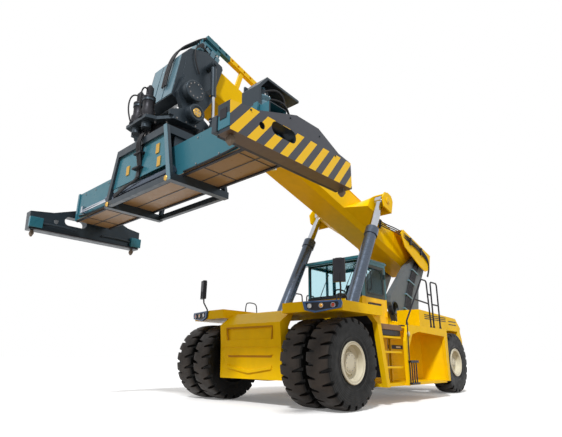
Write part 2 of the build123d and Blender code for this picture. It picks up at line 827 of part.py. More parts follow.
with BuildPart() as counterweight:
    with BuildSketch(across(-HOOD_HALF_W, HOOD_HALF_W)):
        with BuildLine():
            Polyline(
                (TAIL_X + COUNTER_T, 560),
                (TAIL_X + COUNTER_T, HOOD_BOTTOM),
                (TAIL_X + 150, HOOD_BOTTOM),
                (TAIL_X, 1300),
                (TAIL_X, 700),
                (TAIL_X + 90, 560),
                close=True,
            )
        make_face()
    extrude(amount=2 * HOOD_HALF_W)
    fillet(counterweight.edges().filter_by(Axis.Z).sort_by(Axis.X)[:2], radius=60)
counterweight.part.label = "counterweight"
export_step(counterweight.part, "parts/counterweight.step")


# boom post: a tall plate box from the frame to the boom's pivot
with BuildPart() as boom_posts:
    for side, sign in SIDES:
        with BuildSketch(across(POST_IN_Y, POST_IN_Y + POST_T, sign)):
            with BuildLine():
                front = Polyline(
                    (PIVOT_X + 200, PIVOT_Z + 208),
                    (-3670, 3560),
                    (-2560, 2560),
                    (-2520, 2380),
                    (-2840, 1860),
                    (-2840, FRAME_TOP),
                    (-4150, FRAME_TOP),
                    (-4150, 1900),
                    (-4330, 2900),
                    (PIVOT_X - 270, PIVOT_Z - 100),
                )
                ThreePointArc(
                    front @ 1,
                    (PIVOT_X - 60, PIVOT_Z + 282),
                    front @ 0,
                )
            make_face()
        extrude(amount=POST_T)
        # foot plate down the girder's side
        with Locations((-3120, sign * (GIRDER_Y + GIRDER_T + POST_IN_Y + POST_T) / 2, 1030)):
            Box(540, POST_IN_Y + POST_T - GIRDER_Y - GIRDER_T, 860)
        # pivot boss
        with BuildSketch(y_cylinder_plane(PIVOT_X, sign * (POST_IN_Y + POST_T), PIVOT_Z)):
            Circle(190)
        extrude(amount=sign * 60)
        with BuildSketch(y_cylinder_plane(PIVOT_X, sign * POST_IN_Y, PIVOT_Z)):
            Circle(100 + RUN_FIT)
        extrude(amount=sign * (POST_T + 40), mode=Mode.SUBTRACT)
        with BuildSketch(y_cylinder_plane(-2760, sign * (POST_IN_Y + POST_T), 2230)):
            Circle(190)
        extrude(amount=-sign * 90, mode=Mode.SUBTRACT)
boom_posts.part.label = "boom_posts"
export_step(boom_posts.part, "parts/boom_posts.step")

# mirror on its bent arm, standing on the fender
with BuildPart() as mirrors:
    for side, sign in SIDES:
        with BuildLine() as arm:
            FilletPolyline(
                (1760, sign * 1950, FENDER_TOP),
                (1760, sign * 1950, FENDER_TOP + 90),
                (1830, sign * 2010, FENDER_TOP + 250),
                (1850, sign * 2010, FENDER_TOP + 420),
                radius=40,
            )
        with BuildSketch(Plane(origin=arm.wires()[0] @ 0, z_dir=arm.wires()[0] % 0)):
            Circle(17)
        sweep(path=arm.wires()[0])
        with Locations(Location((1860, sign * 2010, FENDER_TOP + 560), (0, 0, sign * 20))):
            Box(90, 230, 440)
    fillet(mirrors.edges().filter_by(Axis.Z).group_by(Edge.length)[-1], radius=30)
mirrors.part.label = "mirrors"
export_step(mirrors.part, "parts/mirrors.step")

# ---------------------------------------------------------------- cab
cab_mid_x = (CAB_FRONT_X + CAB_REAR_X) / 2
cab_len = CAB_FRONT_X - CAB_REAR_X
with BuildPart() as cab_tub:
    with Locations((cab_mid_x, 0, (CAB_FLOOR + CAB_WAIST) / 2)):
        Box(cab_len, 2 * CAB_HALF_W, CAB_WAIST - CAB_FLOOR)
    with Locations((cab_mid_x, 0, (CAB_FLOOR + CAB_WAIST) / 2 + CAB_WALL)):
        Box(
            cab_len - 2 * CAB_WALL,
            2 * (CAB_HALF_W - CAB_WALL),
            CAB_WAIST - CAB_FLOOR,
            mode=Mode.SUBTRACT,
        )
    # doorway in the left side
    with Locations(((DOOR_FRONT_X + DOOR_REAR_X) / 2, CAB_HALF_W, CAB_WAIST)):
        Box(
            DOOR_FRONT_X - DOOR_REAR_X + 2 * DOOR_GAP,
            4 * CAB_WALL,
            2 * (CAB_WAIST - CAB_FLOOR - CAB_WALL),
            mode=Mode.SUBTRACT,
        )
    # lower door hinge: bracket and pin
    with Locations((HINGE_X - 12, (CAB_HALF_W + HINGE_Y) / 2 + 6, HINGE_LOW_Z - 8)):
        Box(36, HINGE_Y - CAB_HALF_W + 12, 16)
    with BuildSketch(Plane.XY.offset(HINGE_LOW_Z)):
        with Locations((HINGE_X, HINGE_Y)):
            Circle(HINGE_PIN_R)
    extrude(amount=110)
    # mounting blocks on the frame
    for x in (CAB_FRONT_X - 150, CAB_REAR_X + 150):
        with Locations((x, 0, (FRAME_TOP + CAB_FLOOR) / 2)):
            Box(120, 2 * (GIRDER_Y + GIRDER_T), CAB_FLOOR - FRAME_TOP)
cab_tub.part.label = "cab_tub"
export_step(cab_tub.part, "parts/cab_tub.step")

door_top = CAB_EAVES - 90
with BuildPart() as cab_frame:
    with Locations((cab_mid_x, 0, (CAB_WAIST + CAB_EAVES) / 2)):
        Box(cab_len, 2 * CAB_HALF_W, CAB_EAVES - CAB_WAIST)
        Box(
            cab_len - 2 * CAB_WALL,
            2 * (CAB_HALF_W - CAB_WALL),
            CAB_EAVES - CAB_WAIST,
            mode=Mode.SUBTRACT,
        )
    # windscreen and rear window
    with Locations((cab_mid_x, 0, (CAB_WAIST + CAB_EAVES) / 2)):
        Box(2 * cab_len, 2 * (CAB_HALF_W - 70), CAB_EAVES - CAB_WAIST - 110, mode=Mode.SUBTRACT)
    # right side window, with a pillar left in it
    for x_a, x_b in ((CAB_FRONT_X - 70, cab_mid_x - 200), (cab_mid_x - 260, CAB_REAR_X + 70)):
        with Locations(((x_a + x_b) / 2, -CAB_HALF_W, (CAB_WAIST + CAB_EAVES) / 2)):
            Box(x_a - x_b, 4 * CAB_WALL, CAB_EAVES - CAB_WAIST - 110, mode=Mode.SUBTRACT)
    # doorway
    with Locations(((DOOR_FRONT_X + DOOR_REAR_X) / 2, CAB_HALF_W, (CAB_WAIST + door_top) / 2)):
        Box(
            DOOR_FRONT_X - DOOR_REAR_X + 2 * DOOR_GAP,
            4 * CAB_WALL,
            door_top - CAB_WAIST + 2 * DOOR_GAP,
            mode=Mode.SUBTRACT,
        )
    with Locations(((DOOR_FRONT_X + DOOR_REAR_X) / 2, CAB_HALF_W, CAB_WAIST + 5)):
        Box(
            DOOR_FRONT_X - DOOR_REAR_X + 2 * DOOR_GAP,
            4 * CAB_WALL,
            40,
            mode=Mode.SUBTRACT,
        )
    # upper door hinge: bracket and pin
    with Locations((HINGE_X - 12, (CAB_HALF_W + HINGE_Y) / 2 + 6, HINGE_HIGH_Z - 8)):
        Box(36, HINGE_Y - CAB_HALF_W + 12, 16)
    with BuildSketch(Plane.XY.offset(HINGE_HIGH_Z)):
        with Locations((HINGE_X, HINGE_Y)):
            Circle(HINGE_PIN_R)
    extrude(amount=110)
    # roof panel, overhanging the windscreen
    with Locations((cab_mid_x + 20, 0, (CAB_EAVES + CAB_ROOF) / 2)):
        Box(cab_len + 160, 2 * CAB_HALF_W + 20, CAB_ROOF - CAB_EAVES)
    chamfer(cab_frame.faces().sort_by(Axis.Z)[-1].edges(), length=30)
cab_frame.part.label = "cab_frame"
export_step(cab_frame.part, "parts/cab_frame.step")

pane_h = CAB_EAVES - CAB_WAIST - 110
pane_z = (CAB_WAIST + CAB_EAVES) / 2
with BuildPart() as cab_glass:
    for x in (CAB_FRONT_X - CAB_WALL / 2, CAB_REAR_X + CAB_WALL / 2):
        with Locations((x, 0, pane_z)):
            Box(10, 2 * (CAB_HALF_W - 70), pane_h)
    for x_a, x_b in ((CAB_FRONT_X - 70, cab_mid_x - 200), (cab_mid_x - 260, CAB_REAR_X + 70)):
        with Locations(((x_a + x_b) / 2, -CAB_HALF_W + CAB_WALL / 2, pane_z)):
            Box(x_a - x_b, 10, pane_h)
cab_glass.part.label = "cab_glass"
export_step(cab_glass.part, "parts/cab_glass.step")

door_mid_x = (DOOR_FRONT_X + DOOR_REAR_X) / 2
door_w = DOOR_FRONT_X - DOOR_REAR_X
door_sill = CAB_FLOOR + CAB_WALL + DOOR_GAP
with BuildPart() as door:
    with Locations((door_mid_x, CAB_HALF_W - CAB_WALL / 2, (door_sill + door_top) / 2)):
        Box(door_w, CAB_WALL, door_top - door_sill)
    with Locations((door_mid_x, CAB_HALF_W, (CAB_WAIST + door_top) / 2 + 30)):
        Box(door_w - 130, 4 * CAB_WALL, door_top - CAB_WAIST - 180, mode=Mode.SUBTRACT)
    # trapezoid recess with the handle's bar across it
    with BuildSketch(Plane.XZ.offset(-CAB_HALF_W)):
        with BuildLine():
            Polyline(
                (DOOR_FRONT_X - 120, 2230),
                (DOOR_REAR_X + 180, 2230),
                (DOOR_REAR_X + 180, 1960),
                (DOOR_REAR_X + 420, 2060),
                close=True,
            )
        make_face()
    extrude(amount=25, mode=Mode.SUBTRACT)
    # hinge barrels with their arms
    for z in (HINGE_LOW_Z, HINGE_HIGH_Z):
        with Locations((HINGE_X + 16, (CAB_HALF_W + HINGE_Y) / 2 + 4, z + 55 + RUN_FIT)):
            Box(32, HINGE_Y - CAB_HALF_W + 8, 110)
        with BuildSketch(Plane.XY.offset(z + RUN_FIT)):
            with Locations((HINGE_X, HINGE_Y)):
                Circle(15)
        extrude(amount=110)
        with BuildSketch(Plane.XY.offset(z + RUN_FIT)):
            with Locations((HINGE_X, HINGE_Y)):
                Circle(HINGE_PIN_R + RUN_FIT)
        extrude(amount=110, mode=Mode.SUBTRACT)
door.part.label = "door_left"
export_step(door.part, "parts/door_left.step")

with BuildPart() as door_glass:
    with Locations((door_mid_x, CAB_HALF_W - CAB_WALL / 2, (CAB_WAIST + door_top) / 2 + 30)):
        Box(door_w - 130, 10, door_top - CAB_WAIST - 180)
door_glass.part.label = "door_glass"
export_step(door_glass.part, "parts/door_glass.step")

seat_x, seat_floor = -1500, CAB_FLOOR + CAB_WALL
with BuildPart() as cab_seat:
    with Locations((seat_x, 0, seat_floor + 170)):
        Box(300, 300, 340)
    with Locations((seat_x, 0, seat_floor + 400)):
        Box(500, 520, 120)
    with Locations(Location((seat_x - 230, 0, seat_floor + 800), (0, -8, 0))):
        Box(120, 500, 760)
    for sign in (1, -1):
        with Locations((seat_x - 20, sign * 310, seat_floor + 560)):
            Box(360, 80, 60)
        with Locations((seat_x - 160, sign * 290, seat_floor + 440)):
            Box(60, 100, 200)
cab_seat.part.label = "cab_seat"
export_step(cab_seat.part, "parts/cab_seat.step")

with BuildPart() as cab_console:
    with BuildSketch(across(-560, 560)):
        with BuildLine():
            Polyline(
                (CAB_FRONT_X - CAB_WALL, seat_floor),
                (CAB_FRONT_X - CAB_WALL, CAB_WAIST + 60),
                (CAB_FRONT_X - 200, CAB_WAIST + 80),
                (CAB_FRONT_X - 260, CAB_WAIST - 60),
                (CAB_FRONT_X - 170, seat_floor),
                close=True,
            )
        make_face()
    extrude(amount=1120)
    wheel_plane = Plane(
        origin=(CAB_FRONT_X - 330, 0, CAB_WAIST + 130),
        x_dir=(0, 1, 0),
        z_dir=(-sin(radians(35)), 0, cos(radians(35))),
    )
    with BuildSketch(wheel_plane.offset(-200)):
        Circle(32)
    extrude(amount=200)
    with BuildSketch(wheel_plane.offset(-12)):
        Circle(200)
        Circle(168, mode=Mode.SUBTRACT)
        Rectangle(350, 34)
        Circle(55)
    extrude(amount=24)
cab_console.part.label = "cab_console"
export_step(cab_console.part, "parts/cab_console.step")

# ---------------------------------------------------------------- boom
def boom_corners(inset):
    """The boom's section, drawn in by inset, as (y, v) points with cut lower corners."""
    half = BOOM_HALF_W - inset
    top, bottom = BOOM_TOP_V - inset, BOOM_BOTTOM_V + inset
    cut = BOOM_CHAMFER - inset * (2 - 2**0.5)
    return [
        (-half, top),
        (-half, bottom + cut),
        (-half + cut, bottom),
        (half - cut, bottom),
        (half, bottom + cut),
        (half, top),
    ]


inner_inset = BOOM_PLATE + INNER_GAP
with BuildPart() as boom_outer:
    with BuildSketch(boom_section(BOOM_REAR_U)):
        with BuildLine():
            Polyline(*boom_corners(0), close=True)
        make_face()
    extrude(amount=BOOM_FRONT_U - BOOM_REAR_U)
    # the bore that the inner boom slides in, narrower at its mouth for the wear pads
    with BuildSketch(boom_section(INNER_REAR_U - 40)):
        with BuildLine():
            Polyline(*boom_corners(BOOM_PLATE), close=True)
        make_face()
    extrude(amount=BOOM_FRONT_U - 260 - INNER_REAR_U + 40, mode=Mode.SUBTRACT)
    with BuildSketch(boom_section(BOOM_FRONT_U - 260)):
        with BuildLine():
            Polyline(*boom_corners(inner_inset - SLIDE_FIT), close=True)
        make_face()
    extrude(amount=260, mode=Mode.SUBTRACT)
    # tail cut off slanting below and behind the pivot
    with BuildSketch(boom_across(-BOOM_HALF_W - 1, BOOM_HALF_W + 1)):
        with BuildLine():
            Polyline(
                (BOOM_REAR_U - 10, BOOM_BOTTOM_V - 10),
                (BOOM_REAR_U - 10, -140),
                (BOOM_REAR_U + 330, BOOM_BOTTOM_V - 10),
                close=True,
            )
        make_face()
    extrude(amount=2 * BOOM_HALF_W + 2, mode=Mode.SUBTRACT)
    # collar round the mouth
    with BuildSketch(boom_section(BOOM_FRONT_U - 180)):
        with BuildLine():
            Polyline(*boom_corners(-25), close=True)
        make_face()
        with BuildLine():
            Polyline(*boom_corners(1), close=True)
        make_face(mode=Mode.SUBTRACT)
    extrude(amount=140)
    # pivot pin and its side bosses
    for side, sign in SIDES:
        with BuildSketch(y_cylinder_plane(PIVOT_X, sign * (BOOM_HALF_W - 1), PIVOT_Z)):
            Circle(190)
        extrude(amount=sign * (POST_IN_Y - BOOM_HALF_W + 1 - RUN_FIT))
        with BuildSketch(y_cylinder_plane(PIVOT_X, sign * (BOOM_HALF_W - 1), PIVOT_Z)):
            Circle(100)
        extrude(amount=sign * (POST_IN_Y + POST_T + 40 - BOOM_HALF_W))
boom_outer.part.label = "boom_outer"
export_step(boom_outer.part, "parts/boom_outer.step")


# flared hood over the lift cylinder's rod eye, open below
with BuildPart() as eye_hoods:
    for side, sign in SIDES:
        # wing from the boom's side out to the inner ear
        with BuildSketch(boom_plane.offset(-sign * BOOM_HALF_W)):
            with BuildLine():
                Polyline(
                    (LIFT_EYE_U + 790, BOOM_BOTTOM_V + BOOM_CHAMFER),
                    (LIFT_EYE_U + 170, BOOM_TOP_V - 100),
                    (LIFT_EYE_U + 70, BOOM_TOP_V - 40),
                    (LIFT_EYE_U - 420, BOOM_TOP_V - 40),
                    (LIFT_EYE_U - 650, BOOM_TOP_V - 140),
                    (LIFT_EYE_U - 650, BOOM_BOTTOM_V + BOOM_CHAMFER),
                    close=True,
                )
            make_face()
        with BuildSketch(boom_plane.offset(-sign * EAR_IN_Y)):
            with BuildLine():
                Polyline(
                    (LIFT_EYE_U + 290, HOOD_BOTTOM_V),
                    (LIFT_EYE_U + 230, LIFT_EYE_V - 20),
                    (LIFT_EYE_U + 25, LIFT_EYE_V + HOOD_ROOF),
                    (LIFT_EYE_U - 175, LIFT_EYE_V + HOOD_ROOF),
                    (LIFT_EYE_U - HOOD_REAR, LIFT_EYE_V + 80),
                    (LIFT_EYE_U - HOOD_REAR, HOOD_BOTTOM_V),
                    close=True,
                )
            make_face()
        loft(ruled=True)
        # roof and rear wall, open to the front and below for the cylinder
        with BuildSketch(boom_across(EAR_IN_Y, HOOD_OUT_Y, sign)):
            with BuildLine():
                Polyline(
                    (LIFT_EYE_U + 25, LIFT_EYE_V + HOOD_ROOF),
                    (LIFT_EYE_U - 175, LIFT_EYE_V + HOOD_ROOF),
                    (LIFT_EYE_U - HOOD_REAR, LIFT_EYE_V + 80),
                    (LIFT_EYE_U - HOOD_REAR, HOOD_BOTTOM_V),
                    (LIFT_EYE_U - HOOD_REAR + HOOD_PLATE, HOOD_BOTTOM_V),
                    (LIFT_EYE_U - HOOD_REAR + HOOD_PLATE, LIFT_EYE_V + 66),
                    (LIFT_EYE_U - 160, LIFT_EYE_V + HOOD_ROOF - HOOD_PLATE + 5),
                    (LIFT_EYE_U + 25, LIFT_EYE_V + HOOD_ROOF - HOOD_PLATE + 5),
                    close=True,
                )
            make_face()
        extrude(amount=HOOD_OUT_Y - EAR_IN_Y)
        # rounded outer ear
        with BuildSketch(boom_across(HOOD_OUT_Y - HOOD_PLATE, HOOD_OUT_Y, sign)):
            with BuildLine():
                ear = Polyline(
                    (LIFT_EYE_U - HOOD_REAR, LIFT_EYE_V + 60),
                    (LIFT_EYE_U - HOOD_REAR, HOOD_BOTTOM_V),
                    (LIFT_EYE_U + 120, HOOD_BOTTOM_V),
                    (LIFT_EYE_U + 240, LIFT_EYE_V - 60),
                    (LIFT_EYE_U + 150, LIFT_EYE_V + 150),
                    (LIFT_EYE_U - 60, LIFT_EYE_V + HOOD_ROOF),
                )
                ThreePointArc(ear @ 1, (LIFT_EYE_U - 225, LIFT_EYE_V + 160), ear @ 0)
            make_face()
        extrude(amount=HOOD_PLATE)
eye_hoods.part.label = "eye_hoods"
export_step(eye_hoods.part, "parts/eye_hoods.step")

swing_local = boom_plane.to_local_coords(Vector(SWING_X, 0, SWING_Z))
swing_u, swing_v = swing_local.X, swing_local.Y
damper_local = boom_plane.to_local_coords(Vector(DAMPER_TOP_X, 0, DAMPER_TOP_Z))
damper_u, damper_v = damper_local.X, damper_local.Y
inner_half = BOOM_HALF_W - inner_inset
with BuildPart() as boom_inner:
    with BuildSketch(boom_section(INNER_REAR_U)):
        with BuildLine():
            Polyline(*boom_corners(inner_inset), close=True)
        make_face()
    extrude(amount=HEAD_U - 900 - INNER_REAR_U)
    # wear-pad collar at its rear end
    with BuildSketch(boom_section(INNER_REAR_U)):
        with BuildLine():
            Polyline(*boom_corners(BOOM_PLATE + SLIDE_FIT), close=True)
        make_face()
    extrude(amount=240)
boom_inner.part.label = "boom_inner"
export_step(boom_inner.part, "parts/boom_inner.step")

with BuildPart() as boom_head:
    with BuildSketch(boom_across(-HEAD_LUG_Y, HEAD_LUG_Y)):
        with BuildLine():
            Polyline(
                (HEAD_U - 900, BOOM_TOP_V - inner_inset),
                (HEAD_U - 860, HEAD_TOP_V),
                (HEAD_U - 430, HEAD_TOP_V),
                (HEAD_U - 90, 110),
                (HEAD_U + 10, -150),
                (HEAD_U - 120, -1120),
                (HEAD_U - 330, -1150),
                (HEAD_U - 560, -760),
                (HEAD_U - 760, BOOM_BOTTOM_V + inner_inset),
                (HEAD_U - 900, BOOM_BOTTOM_V + inner_inset),
                close=True,
            )
        make_face()
    extrude(amount=2 * HEAD_LUG_Y)
    for side, sign in SIDES:
        # lug reaching down to the swing pin
        with BuildSketch(boom_across(HEAD_LUG_Y, HEAD_LUG_Y + HEAD_LUG_T, sign)):
            with BuildLine():
                Polyline(
                    (swing_u - SWING_LUG_R, swing_v),
                    (swing_u - 330, -640),
                    (HEAD_U - 160, -640),
                    (swing_u + 400, swing_v + 330),
                    (swing_u + SWING_LUG_R, swing_v),
                    close=True,
                )
            make_face()
            with Locations((swing_u, swing_v)):
                Circle(SWING_LUG_R)
                Circle(SWING_PIN_R + RUN_FIT, mode=Mode.SUBTRACT)
        extrude(amount=HEAD_LUG_T)
        # cross tube's round cap above the pin
        with BuildSketch(boom_across(HEAD_LUG_Y + HEAD_LUG_T, DAMPER_Y + DAMPER_R, sign)):
            with Locations((swing_u + 155, swing_v + 465)):
                Circle(210)
        extrude(amount=DAMPER_Y + DAMPER_R - HEAD_LUG_Y - HEAD_LUG_T)
        # boss and pin for the damping cylinder
        with BuildSketch(boom_across(HEAD_LUG_Y, DAMPER_Y - DAMPER_R - 2, sign)):
            with Locations((damper_u, damper_v)):
                Circle(75)
        extrude(amount=DAMPER_Y - DAMPER_R - 2 - HEAD_LUG_Y)
        with BuildSketch(boom_across(HEAD_LUG_Y, DAMPER_Y + DAMPER_R + 25, sign)):
            with Locations((damper_u, damper_v)):
                Circle(35)
        extrude(amount=DAMPER_Y + DAMPER_R + 25 - HEAD_LUG_Y)
boom_head.part.label = "boom_head"
export_step(boom_head.part, "parts/boom_head.step")

# perforated hose beam on two posts above the inner boom
with BuildPart() as hose_beam:
    with BuildSketch(boom_across(250, 350)):
        with BuildLine():
            Polyline((7620, 810), (9270, 790), (9270, 900), (7620, 920), close=True)
        make_face()
    extrude(amount=100)
    with BuildSketch(boom_across(240, 360)):
        with Locations(*[(7780 + 190 * i, 862) for i in range(7)]):
            Circle(30)
    extrude(amount=120, mode=Mode.SUBTRACT)
    for u, foot_v in ((8200, BOOM_TOP_V - inner_inset), (8900, HEAD_TOP_V)):
        with BuildSketch(boom_across(270, 330)):
            with Locations((u, (foot_v + 815) / 2)):
                Rectangle(100, 815 - foot_v)
        extrude(amount=60)
hose_beam.part.label = "hose_beam"
export_step(hose_beam.part, "parts/hose_beam.step")

# ---------------------------------------------------------------- lift cylinders
eye_world = boom_point(LIFT_EYE_U, 0, LIFT_EYE_V)
lift_len = hypot(eye_world.X - LIFT_BASE_X, eye_world.Z - LIFT_BASE_Z)
lift_dir = Vector(eye_world.X - LIFT_BASE_X, 0, eye_world.Z - LIFT_BASE_Z).normalized()
for side, sign in SIDES:
    base = Vector(LIFT_BASE_X, sign * LIFT_Y, LIFT_BASE_Z)
    eye = Vector(eye_world.X, sign * LIFT_Y, eye_world.Z)
    with BuildPart() as lift_barrel:
        with BuildSketch(Plane(origin=base + lift_dir * LIFT_NECK_L, z_dir=lift_dir)):
            Circle(LIFT_BARREL_R)
        extrude(amount=LIFT_BARREL_L - LIFT_NECK_L)
        with BuildSketch(Plane(origin=base + lift_dir * (LIFT_BARREL_L - 230), z_dir=lift_dir)):
            Circle(LIFT_GLAND_R)
        extrude(amount=230)
        with BuildSketch(y_cylinder_plane(base.X, base.Y - LIFT_EYE_W / 2, base.Z)):
            Circle(LIFT_EYE_R)
        extrude(amount=LIFT_EYE_W)
        with BuildSketch(Plane(origin=base, x_dir=(0, 1, 0), z_dir=lift_dir)):
            Rectangle(LIFT_EYE_W, 2 * LIFT_EYE_R)
        extrude(amount=LIFT_NECK_L + 10)
        with BuildSketch(y_cylinder_plane(base.X, base.Y - LIFT_EYE_W / 2, base.Z)):
            Circle(LIFT_PIN_R + RUN_FIT)
        extrude(amount=LIFT_EYE_W, mode=Mode.SUBTRACT)
        # bore for the rod, narrower at its gland
        with BuildSketch(Plane(origin=base + lift_dir * (LIFT_NECK_L + 10), z_dir=lift_dir)):
            Circle(LIFT_ROD_R + 20)
        extrude(amount=LIFT_BARREL_L - LIFT_GLAND_L - LIFT_NECK_L - 10, mode=Mode.SUBTRACT)
        with BuildSketch(Plane(origin=base + lift_dir * LIFT_BARREL_L, z_dir=-lift_dir)):
            Circle(LIFT_ROD_R + RUN_FIT)
        extrude(amount=LIFT_GLAND_L, mode=Mode.SUBTRACT)
    lift_barrel.part.label = f"lift_barrel_{side}"
    export_step(lift_barrel.part, f"parts/lift_barrel_{side}.step")

    with BuildPart() as lift_rod:
        with BuildSketch(Plane(origin=eye - lift_dir * LIFT_ROD_L, z_dir=lift_dir)):
            Circle(LIFT_ROD_R)
        extrude(amount=LIFT_ROD_L - 100)
        with BuildSketch(Plane(origin=eye - lift_dir * LIFT_ROD_L, z_dir=lift_dir)):
            Circle(LIFT_ROD_R + 18)
        extrude(amount=LIFT_PISTON_L)
        with BuildSketch(y_cylinder_plane(eye.X, eye.Y - LIFT_EYE_W / 2, eye.Z)):
            Circle(LIFT_EYE_R)
        extrude(amount=LIFT_EYE_W)
        with BuildSketch(y_cylinder_plane(eye.X, eye.Y - 150, eye.Z)):
            Circle(LIFT_PIN_R)
        extrude(amount=300)
    lift_rod.part.label = f"lift_rod_{side}"
    export_step(lift_rod.part, f"parts/lift_rod_{side}.step")

# ---------------------------------------------------------------- damping cylinders
damper_dir = Vector(
    DAMPER_FOOT_X - DAMPER_TOP_X, 0, DAMPER_FOOT_Z - DAMPER_TOP_Z
).normalized()

with BuildPart() as damper_barrels:
    for side, sign in SIDES:
        top = Vector(DAMPER_TOP_X, sign * DAMPER_Y, DAMPER_TOP_Z)
        with BuildSketch(Plane(origin=top + damper_dir * 60, z_dir=damper_dir)):
            Circle(DAMPER_R)
        extrude(amount=DAMPER_BARREL_L - 60)
        with BuildSketch(y_cylinder_plane(top.X, top.Y - DAMPER_R, top.Z)):
            Circle(75)
        extrude(amount=2 * DAMPER_R)
        with BuildSketch(Plane(origin=top + damper_dir * 80, z_dir=damper_dir)):
            Circle(DAMPER_ROD_R + 10)
        extrude(amount=DAMPER_BARREL_L - 130, mode=Mode.SUBTRACT)
        with BuildSketch(Plane(origin=top + damper_dir * 200, z_dir=damper_dir)):
            Circle(DAMPER_ROD_R + RUN_FIT)
        extrude(amount=DAMPER_BARREL_L, mode=Mode.SUBTRACT)
        with BuildSketch(y_cylinder_plane(top.X, top.Y - DAMPER_R - 10, top.Z)):
            Circle(35 + RUN_FIT)
        extrude(amount=2 * DAMPER_R + 20, mode=Mode.SUBTRACT)
damper_barrels.part.label = "damper_barrels"
export_step(damper_barrels.part, "parts/damper_barrels.step")

with BuildPart() as damper_rods:
    for side, sign in SIDES:
        foot = Vector(DAMPER_FOOT_X, sign * DAMPER_Y, DAMPER_FOOT_Z)
        with BuildSketch(Plane(origin=foot - damper_dir * 50, z_dir=-damper_dir)):
            Circle(DAMPER_ROD_R)
        extrude(amount=700)
        with BuildSketch(y_cylinder_plane(foot.X, foot.Y - DAMPER_R + 5, foot.Z)):
            Circle(65)
        extrude(amount=2 * DAMPER_R - 10)
damper_rods.part.label = "damper_rods"
export_step(damper_rods.part, "parts/damper_rods.step")

# ---------------------------------------------------------------- rotator
drive_x = SWING_X + 610
with BuildPart() as rotator:
    with BuildSketch(Plane.XY.offset(ROTATOR_Z)):
        with BuildLine():
            Polyline(
                (SWING_X - 560, -EAR_Y - EAR_T),
                (SWING_X - 560, EAR_Y + EAR_T),
                (SWING_X + 380, EAR_Y + EAR_T),
                (SWING_X + 560, 400),
                (SWING_X + 740, 330),
                (SWING_X + 740, -330),
                (SWING_X + 560, -400),
                (SWING_X + 380, -EAR_Y - EAR_T),
                close=True,
            )
        make_face()
    extrude(amount=ROTATOR_T)
    # hub that centres the slewing ring
    with BuildSketch(Plane.XY.offset(ROTATOR_Z)):
        with Locations((SWING_X, 0)):
            Circle(SLEW_HUB_R)
    extrude(amount=-140)
    for side, sign in SIDES:
        with BuildSketch(across(EAR_Y, EAR_Y + EAR_T, sign)):
            with BuildLine():
                Polyline(
                    (SWING_X - 560, ROTATOR_Z + ROTATOR_T),
                    (SWING_X - 150, SWING_Z + 90),
                    (SWING_X + 150, SWING_Z + 90),
                    (SWING_X + 460, ROTATOR_Z + 150),
                    (SWING_X + 460, ROTATOR_Z + ROTATOR_T),
                    close=True,
                )
            make_face()
            with Locations((SWING_X, SWING_Z)):
                Circle(175)
        extrude(amount=EAR_T)
        with BuildSketch(y_cylinder_plane(SWING_X, sign * (EAR_Y + EAR_T), SWING_Z)):
            Circle(170)
        extrude(amount=sign * 140)
        # swing pin, fixed in the ears
        with BuildSketch(y_cylinder_plane(SWING_X, sign * HEAD_LUG_Y, SWING_Z)):
            Circle(SWING_PIN_R)
        extrude(amount=sign * (EAR_Y - HEAD_LUG_Y + 5))
        # clevis plate for the damping cylinder's foot, outside it
        with BuildSketch(across(DAMPER_Y + DAMPER_R + 10, DAMPER_Y + DAMPER_R + 60, sign)):
            with BuildLine():
                Polyline(
                    (SWING_X - 560, ROTATOR_Z),
                    (SWING_X - 560, DAMPER_FOOT_Z),
                    (SWING_X - 480, DAMPER_FOOT_Z + 80),
                    (SWING_X - 400, DAMPER_FOOT_Z),
                    (SWING_X - 300, ROTATOR_Z),
                    close=True,
                )
            make_face()
        extrude(amount=50)
        with Locations((SWING_X - 430, sign * (EAR_Y + EAR_T + 50), ROTATOR_Z + ROTATOR_T / 2)):
            Box(260, 160, ROTATOR_T)
        # slew drive: reducer, brake and motor above, pinion housing below
        for radius, z_a, z_b in (
            (125, ROTATOR_Z + ROTATOR_T, ROTATOR_Z + 170),
            (100, ROTATOR_Z + 170, ROTATOR_Z + 420),
            (115, ROTATOR_Z + 420, ROTATOR_Z + 460),
            (65, ROTATOR_Z + 460, ROTATOR_Z + 640),
        ):
            with BuildSketch(Plane.XY.offset(z_a)):
                with Locations((drive_x, sign * 160)):
                    Circle(radius)
            extrude(amount=z_b - z_a)
        with BuildSketch(Plane.XY.offset(ROTATOR_Z)):
            with Locations((drive_x, sign * 160)):
                Circle(90)
        extrude(amount=-120)
rotator.part.label = "rotator"
export_step(rotator.part, "parts/rotator.step")

# ---------------------------------------------------------------- side-shift frame
pad = SLIDE_FIT
ring_top = ROTATOR_Z - 6
frame_x_a, frame_x_b = SWING_X - 600, SWING_X + 600
with BuildPart() as slew_ring:
    with BuildSketch(Plane.XY.offset(SHIFT_FRAME_TOP)):
        with Locations((SWING_X, 0)):
            Circle(SLEW_R)
            Circle(SLEW_HUB_R + RUN_FIT, mode=Mode.SUBTRACT)
    extrude(amount=ring_top - SHIFT_FRAME_TOP)
slew_ring.part.label = "slew_ring"
export_step(slew_ring.part, "parts/slew_ring.step")

